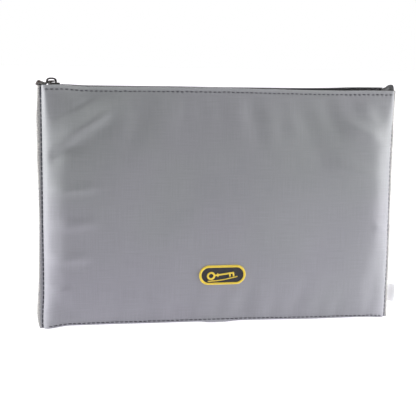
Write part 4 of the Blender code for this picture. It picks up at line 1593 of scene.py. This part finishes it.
def make_motif(wall, cx, cz, yellow):
    """A key in satin stitch, tilted a little up to the right: its bow, its stem, two teeth, and a swash
    below."""
    a = np.linspace(0, 2 * math.pi, 48, endpoint=False)
    bow = np.stack([-11.2 + 3.2 * np.cos(a), 0.7 + 3.0 * np.sin(a)], axis=1)
    strokes = [
        (bow, 0.95, 200, True),
        ([(-7.4, 0.7), (11.5, 0.7)], 0.85, 160),
        ([(7.2, 0.0), (7.2, -2.6)], 0.85, 30),
        ([(10.7, 0.0), (10.7, -2.9)], 0.85, 34),
        ([(-15.0, -4.1), (-6.0, -4.7), (2.0, -4.6), (14.5, -3.5)], 0.55, 200),
        ([(-4.6, 2.5), (-4.6, -1.1)], 0.6, 30),
    ]
    key = joined([stroke(wall, (cx, cz), *one) for one in strokes])
    piece = make_piece("badge_key_satin", *piece_parts(key, yellow))
    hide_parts("badge_motif")
    rides_with_front(piece)


def make_label(finish):
    """A folded ribbon: two layers that come out of the side seam and turn round at their outer end. It
    leans a little and its free end droops."""
    low, high = LABEL_LOW, LABEL_HIGH
    start = seam_x() - 1.0 * MM
    reach = high.x - start
    r = 0.42 * MM
    t = np.linspace(0, 1, 30)
    flat = np.stack([start + (reach - r) * t, np.full(30, r)], axis=1)
    a = np.linspace(math.pi / 2, -math.pi / 2, 11)[1:-1]
    bend = np.stack([start + reach - r + 1.2 * r * np.cos(a), r * np.sin(a)], axis=1)
    section = np.concatenate([flat, bend, flat[::-1] * (1, -1)])
    inside = smooth((PANEL_HIGH.x + 1 * MM - section[:, 0]) / (3 * MM))
    section[:, 1] *= 1 - 0.62 * inside
    v = np.linspace(0, 1, 26)
    x = np.repeat(section[None, :, 0], len(v), axis=0)
    y = np.repeat(section[None, :, 1], len(v), axis=0)
    z = low.z + (high.z - low.z) * np.repeat(v[:, None], len(section), axis=1)
    out = smooth((x - PANEL_HIGH.x) / (high.x - PANEL_HIGH.x))
    y = y - 0.9 * MM * out * np.sin(math.pi * v)[:, None] - 0.6 * MM * out
    z = z - 0.7 * MM * out
    x = x - 0.5 * MM * out * (v[:, None] - 0.5) ** 2 * 4
    points = np.stack([x, y, z], axis=-1)
    uv = flat_places(points)
    piece = sheet_piece("care_label_ribbon", points, uv, finish, "satin", 0.16 * MM)
    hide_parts("care_label")
    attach(piece, "bag")


# Operators -------------------------------------------------------------------


class BAG_OT_settle(bpy.types.Operator):
    """Settle the cloth of both walls"""

    bl_idname = "bag.settle"
    bl_label = "Settle the cloth"

    def execute(self, context):
        for name, side in (("front", -1), ("back", 1)):
            wall = Wall(side)
            wall.settle()
            MADE[name] = wall
        return {"FINISHED"}


class BAG_OT_walls(bpy.types.Operator):
    """Make the outer walls and their linings"""

    bl_idname = "bag.walls"
    bl_label = "Walls and linings"

    def execute(self, context):
        cloth, lining = cloth_finish(), lining_finish()
        for name in ("front", "back"):
            make_panel(MADE[name], name + "_panel", cloth)
            make_lining(MADE[name], name + "_lining", lining)
        return {"FINISHED"}


class BAG_OT_stitching(bpy.types.Operator):
    """Sew the rows of stitches"""

    bl_idname = "bag.stitching"
    bl_label = "Stitching"

    def execute(self, context):
        thread = thread_finish()
        for name in ("front", "back"):
            make_top_stitches(MADE[name], "top_stitching_" + name, thread)
            for side_name, x_side in (("left", -1), ("right", 1)):
                make_side_stitches(MADE[name], x_side, f"side_stitching_{name}_{side_name}", thread)
        make_bottom_stitches(MADE["front"], "bottom_stitching", thread)
        make_bar_tacks(thread)
        return {"FINISHED"}


class BAG_OT_zip(bpy.types.Operator):
    """Make the zip's tapes, coils and stops"""

    bl_idname = "bag.zip"
    bl_label = "Zip"

    def execute(self, context):
        tape, coil, thread, metal = tape_finish(), coil_finish(), thread_finish(), metal_finish()
        for side, name in ((-1, "front"), (1, "back")):
            make_tape(side, "zip_tape_" + name, tape)
            make_coil(side, "zip_coil_" + name, coil, thread)
        make_stops(metal)
        return {"FINISHED"}


class BAG_OT_slider(bpy.types.Operator):
    """Make the slider and its pull tab"""

    bl_idname = "bag.slider"
    bl_label = "Slider and pull tab"

    def execute(self, context):
        metal = metal_finish()
        make_slider(metal)
        make_pull_tab(metal)
        return {"FINISHED"}


class BAG_OT_badge(bpy.types.Operator):
    """Make the sewn badge on the front wall"""

    bl_idname = "bag.badge"
    bl_label = "Badge"

    def execute(self, context):
        make_badge(MADE["front"], badge_back_finish(), badge_thread_finish())
        return {"FINISHED"}


class BAG_OT_label(bpy.types.Operator):
    """Make the label in the side seam"""

    bl_idname = "bag.label"
    bl_label = "Care label"

    def execute(self, context):
        make_label(label_finish())
        return {"FINISHED"}


class BAG_OT_stage(bpy.types.Operator):
    """Set the floor, the lights and the camera"""

    bl_idname = "bag.stage"
    bl_label = "Stage"

    def execute(self, context):
        make_floor()
        make_lights()
        make_camera()
        return {"FINISHED"}


# Brightness of the tent in front of the bag and behind it, and the soft boxes: place, size and power in watts
TENT_FRONT, TENT_BACK = 0.1, 0.7
SOFT_BOXES = (
    ("left box", (-0.9, 0.06, 0.25), (0.3, 0.6), 9.8),
    ("right box", (0.62, -0.14, 0.15), (0.25, 0.4), 4.1),
    ("top box", (0.0, 0.0, 1.3), (1.6, 0.3), 12),
)
LIGHT_AIM = Vector((0, 0, 0.11))
# The floor glows, painted light that stands in for a lamp below it: how much, front and back, and where it
# dims towards the front
FLOOR_GLOW = (0.3, 1.0)
FLOOR_DIM_START, FLOOR_DIM_END = -0.3, -0.75


def make_floor():
    """A wide pale floor that glows as painted light: a disc of rings whose middle is on the ground."""
    rows, columns = 14, 48
    radii = np.geomspace(0.3, 30, rows)[:, None]
    a = np.linspace(0, 2 * math.pi, columns, endpoint=False)
    rings = np.stack([radii * np.cos(a), radii * np.sin(a), np.zeros((rows, columns))], axis=-1)
    points = np.concatenate([rings.reshape(-1, 3), [[0, 0, 0]]])
    faces, _, _ = grid_faces(rows, columns, around=True)
    k = np.arange(columns)
    fan = np.stack([np.full(columns, rows * columns), k, (k + 1) % columns], axis=1)
    made = Finish("Glowing pale floor", (0.45, 0.44, 0.46), 0.8, emission_color=(1.0, 0.985, 1.02, 1.0))
    place = made.object_place()
    # Painted light: the floor glows, brighter behind the bag and dimmer towards the front, and lights the bag
    # from below.
    near = made.span(made.split(place)[1], FLOOR_DIM_END, FLOOR_DIM_START, *FLOOR_GLOW)
    made.put(made.shader.inputs["Emission Strength"], near)
    grain = made.noise(place, 60.0, 3.0)
    tone = made.blend(made.span(grain, 0.3, 0.7), (0.44, 0.43, 0.45), (0.455, 0.445, 0.47))
    mesh = bpy.data.meshes.new("floor")
    fill_mesh(mesh, points, [faces[:, ::-1], fan])
    mesh.materials.append(made.finish(tone))
    floor = bpy.data.objects.new("floor", mesh)
    bpy.context.collection.objects.link(floor)


def make_tent():
    """A tent whose front is open and dark and whose back is bright. The camera sees it plain white."""
    world = bpy.data.worlds.new("Studio")
    bpy.context.scene.world = world
    world.use_nodes = True
    tree = world.node_tree
    sky = tree.nodes["Background"]
    place = tree.nodes.new("ShaderNodeTexCoord")
    split = tree.nodes.new("ShaderNodeSeparateXYZ")
    tree.links.new(place.outputs["Generated"], split.inputs[0])
    ramp = tree.nodes.new("ShaderNodeMapRange")
    ramp.interpolation_type = "SMOOTHSTEP"
    tree.links.new(split.outputs[1], ramp.inputs[0])
    for k, value in enumerate((-0.95, 0.1, TENT_FRONT, TENT_BACK)):
        ramp.inputs[k + 1].default_value = value
    seen = tree.nodes.new("ShaderNodeLightPath")
    white = tree.nodes.new("ShaderNodeMath")
    white.operation = "MAXIMUM"
    tree.links.new(ramp.outputs[0], white.inputs[0])
    tree.links.new(seen.outputs["Is Camera Ray"], white.inputs[1])
    tree.links.new(white.outputs[0], sky.inputs["Strength"])
    sky.inputs["Color"].default_value = (1, 1, 1, 1)


def make_lights():
    """The tent, soft boxes level with the bag at both of its ends, and one above."""
    make_tent()
    for name, place, size, power in SOFT_BOXES:
        data = bpy.data.lights.new(name, "AREA")
        data.shape = "RECTANGLE"
        data.size, data.size_y = size
        data.energy = power
        box = bpy.data.objects.new(name, data)
        bpy.context.collection.objects.link(box)
        box.visible_camera = False
        box.location = place
        aim = LIGHT_AIM - Vector(place)
        box.rotation_euler = aim.to_track_quat("-Z", "Y").to_euler()
    bpy.context.scene.view_settings.view_transform = "Standard"


def make_camera():
    """Stands off the bag along its turn and tilt, and rolls about its own line of sight."""
    stage = bpy.context.scene.bag_stage
    ahead = Vector(
        (
            math.sin(stage.turn) * math.cos(stage.tilt),
            math.cos(stage.turn) * math.cos(stage.tilt),
            -math.sin(stage.tilt),
        )
    )
    aim = Vector((stage.aim_x, 0, stage.aim_z))
    data = bpy.data.cameras.new("camera")
    data.lens = stage.lens
    data.sensor_width = 36
    camera = bpy.data.objects.new("camera", data)
    bpy.context.collection.objects.link(camera)
    turn = ahead.to_track_quat("-Z", "Y").to_matrix() @ Matrix.Rotation(stage.roll, 3, "Z")
    camera.location = aim - ahead * stage.distance
    camera.rotation_euler = turn.to_euler()
    bpy.context.scene.camera = camera


class BAG_PT_panel(bpy.types.Panel):
    """Lists the steps that make the bag"""

    bl_label = "Deposit bag"
    bl_idname = "BAG_PT_panel"
    bl_space_type = "VIEW_3D"
    bl_region_type = "UI"
    bl_category = "Deposit bag"

    def draw(self, context):
        for operator in STEPS:
            self.layout.operator(operator.bl_idname)
        for group in (context.scene.bag_sizes, context.scene.bag_colours, context.scene.bag_stage):
            box = self.layout.box()
            for key in group.bl_rna.properties.keys():
                if key not in ("rna_type", "name"):
                    box.prop(group, key)


STEPS = (
    BAG_OT_settle,
    BAG_OT_walls,
    BAG_OT_stitching,
    BAG_OT_zip,
    BAG_OT_slider,
    BAG_OT_badge,
    BAG_OT_label,
    BAG_OT_stage,
)
CLASSES = (BagSizes, BagColours, StageSet, *STEPS, BAG_PT_panel)


def register():
    for item in CLASSES:
        bpy.utils.register_class(item)
    bpy.types.Scene.bag_sizes = PointerProperty(type=BagSizes)
    bpy.types.Scene.bag_colours = PointerProperty(type=BagColours)
    bpy.types.Scene.bag_stage = PointerProperty(type=StageSet)


def unregister():
    for key in ("bag_sizes", "bag_colours", "bag_stage"):
        delattr(bpy.types.Scene, key)
    for item in reversed(CLASSES):
        bpy.utils.unregister_class(item)


def main():
    register()
    for step in STEPS:
        group, name = step.bl_idname.split(".")
        getattr(getattr(bpy.ops, group), name)()


if __name__ == "__main__":
    main()
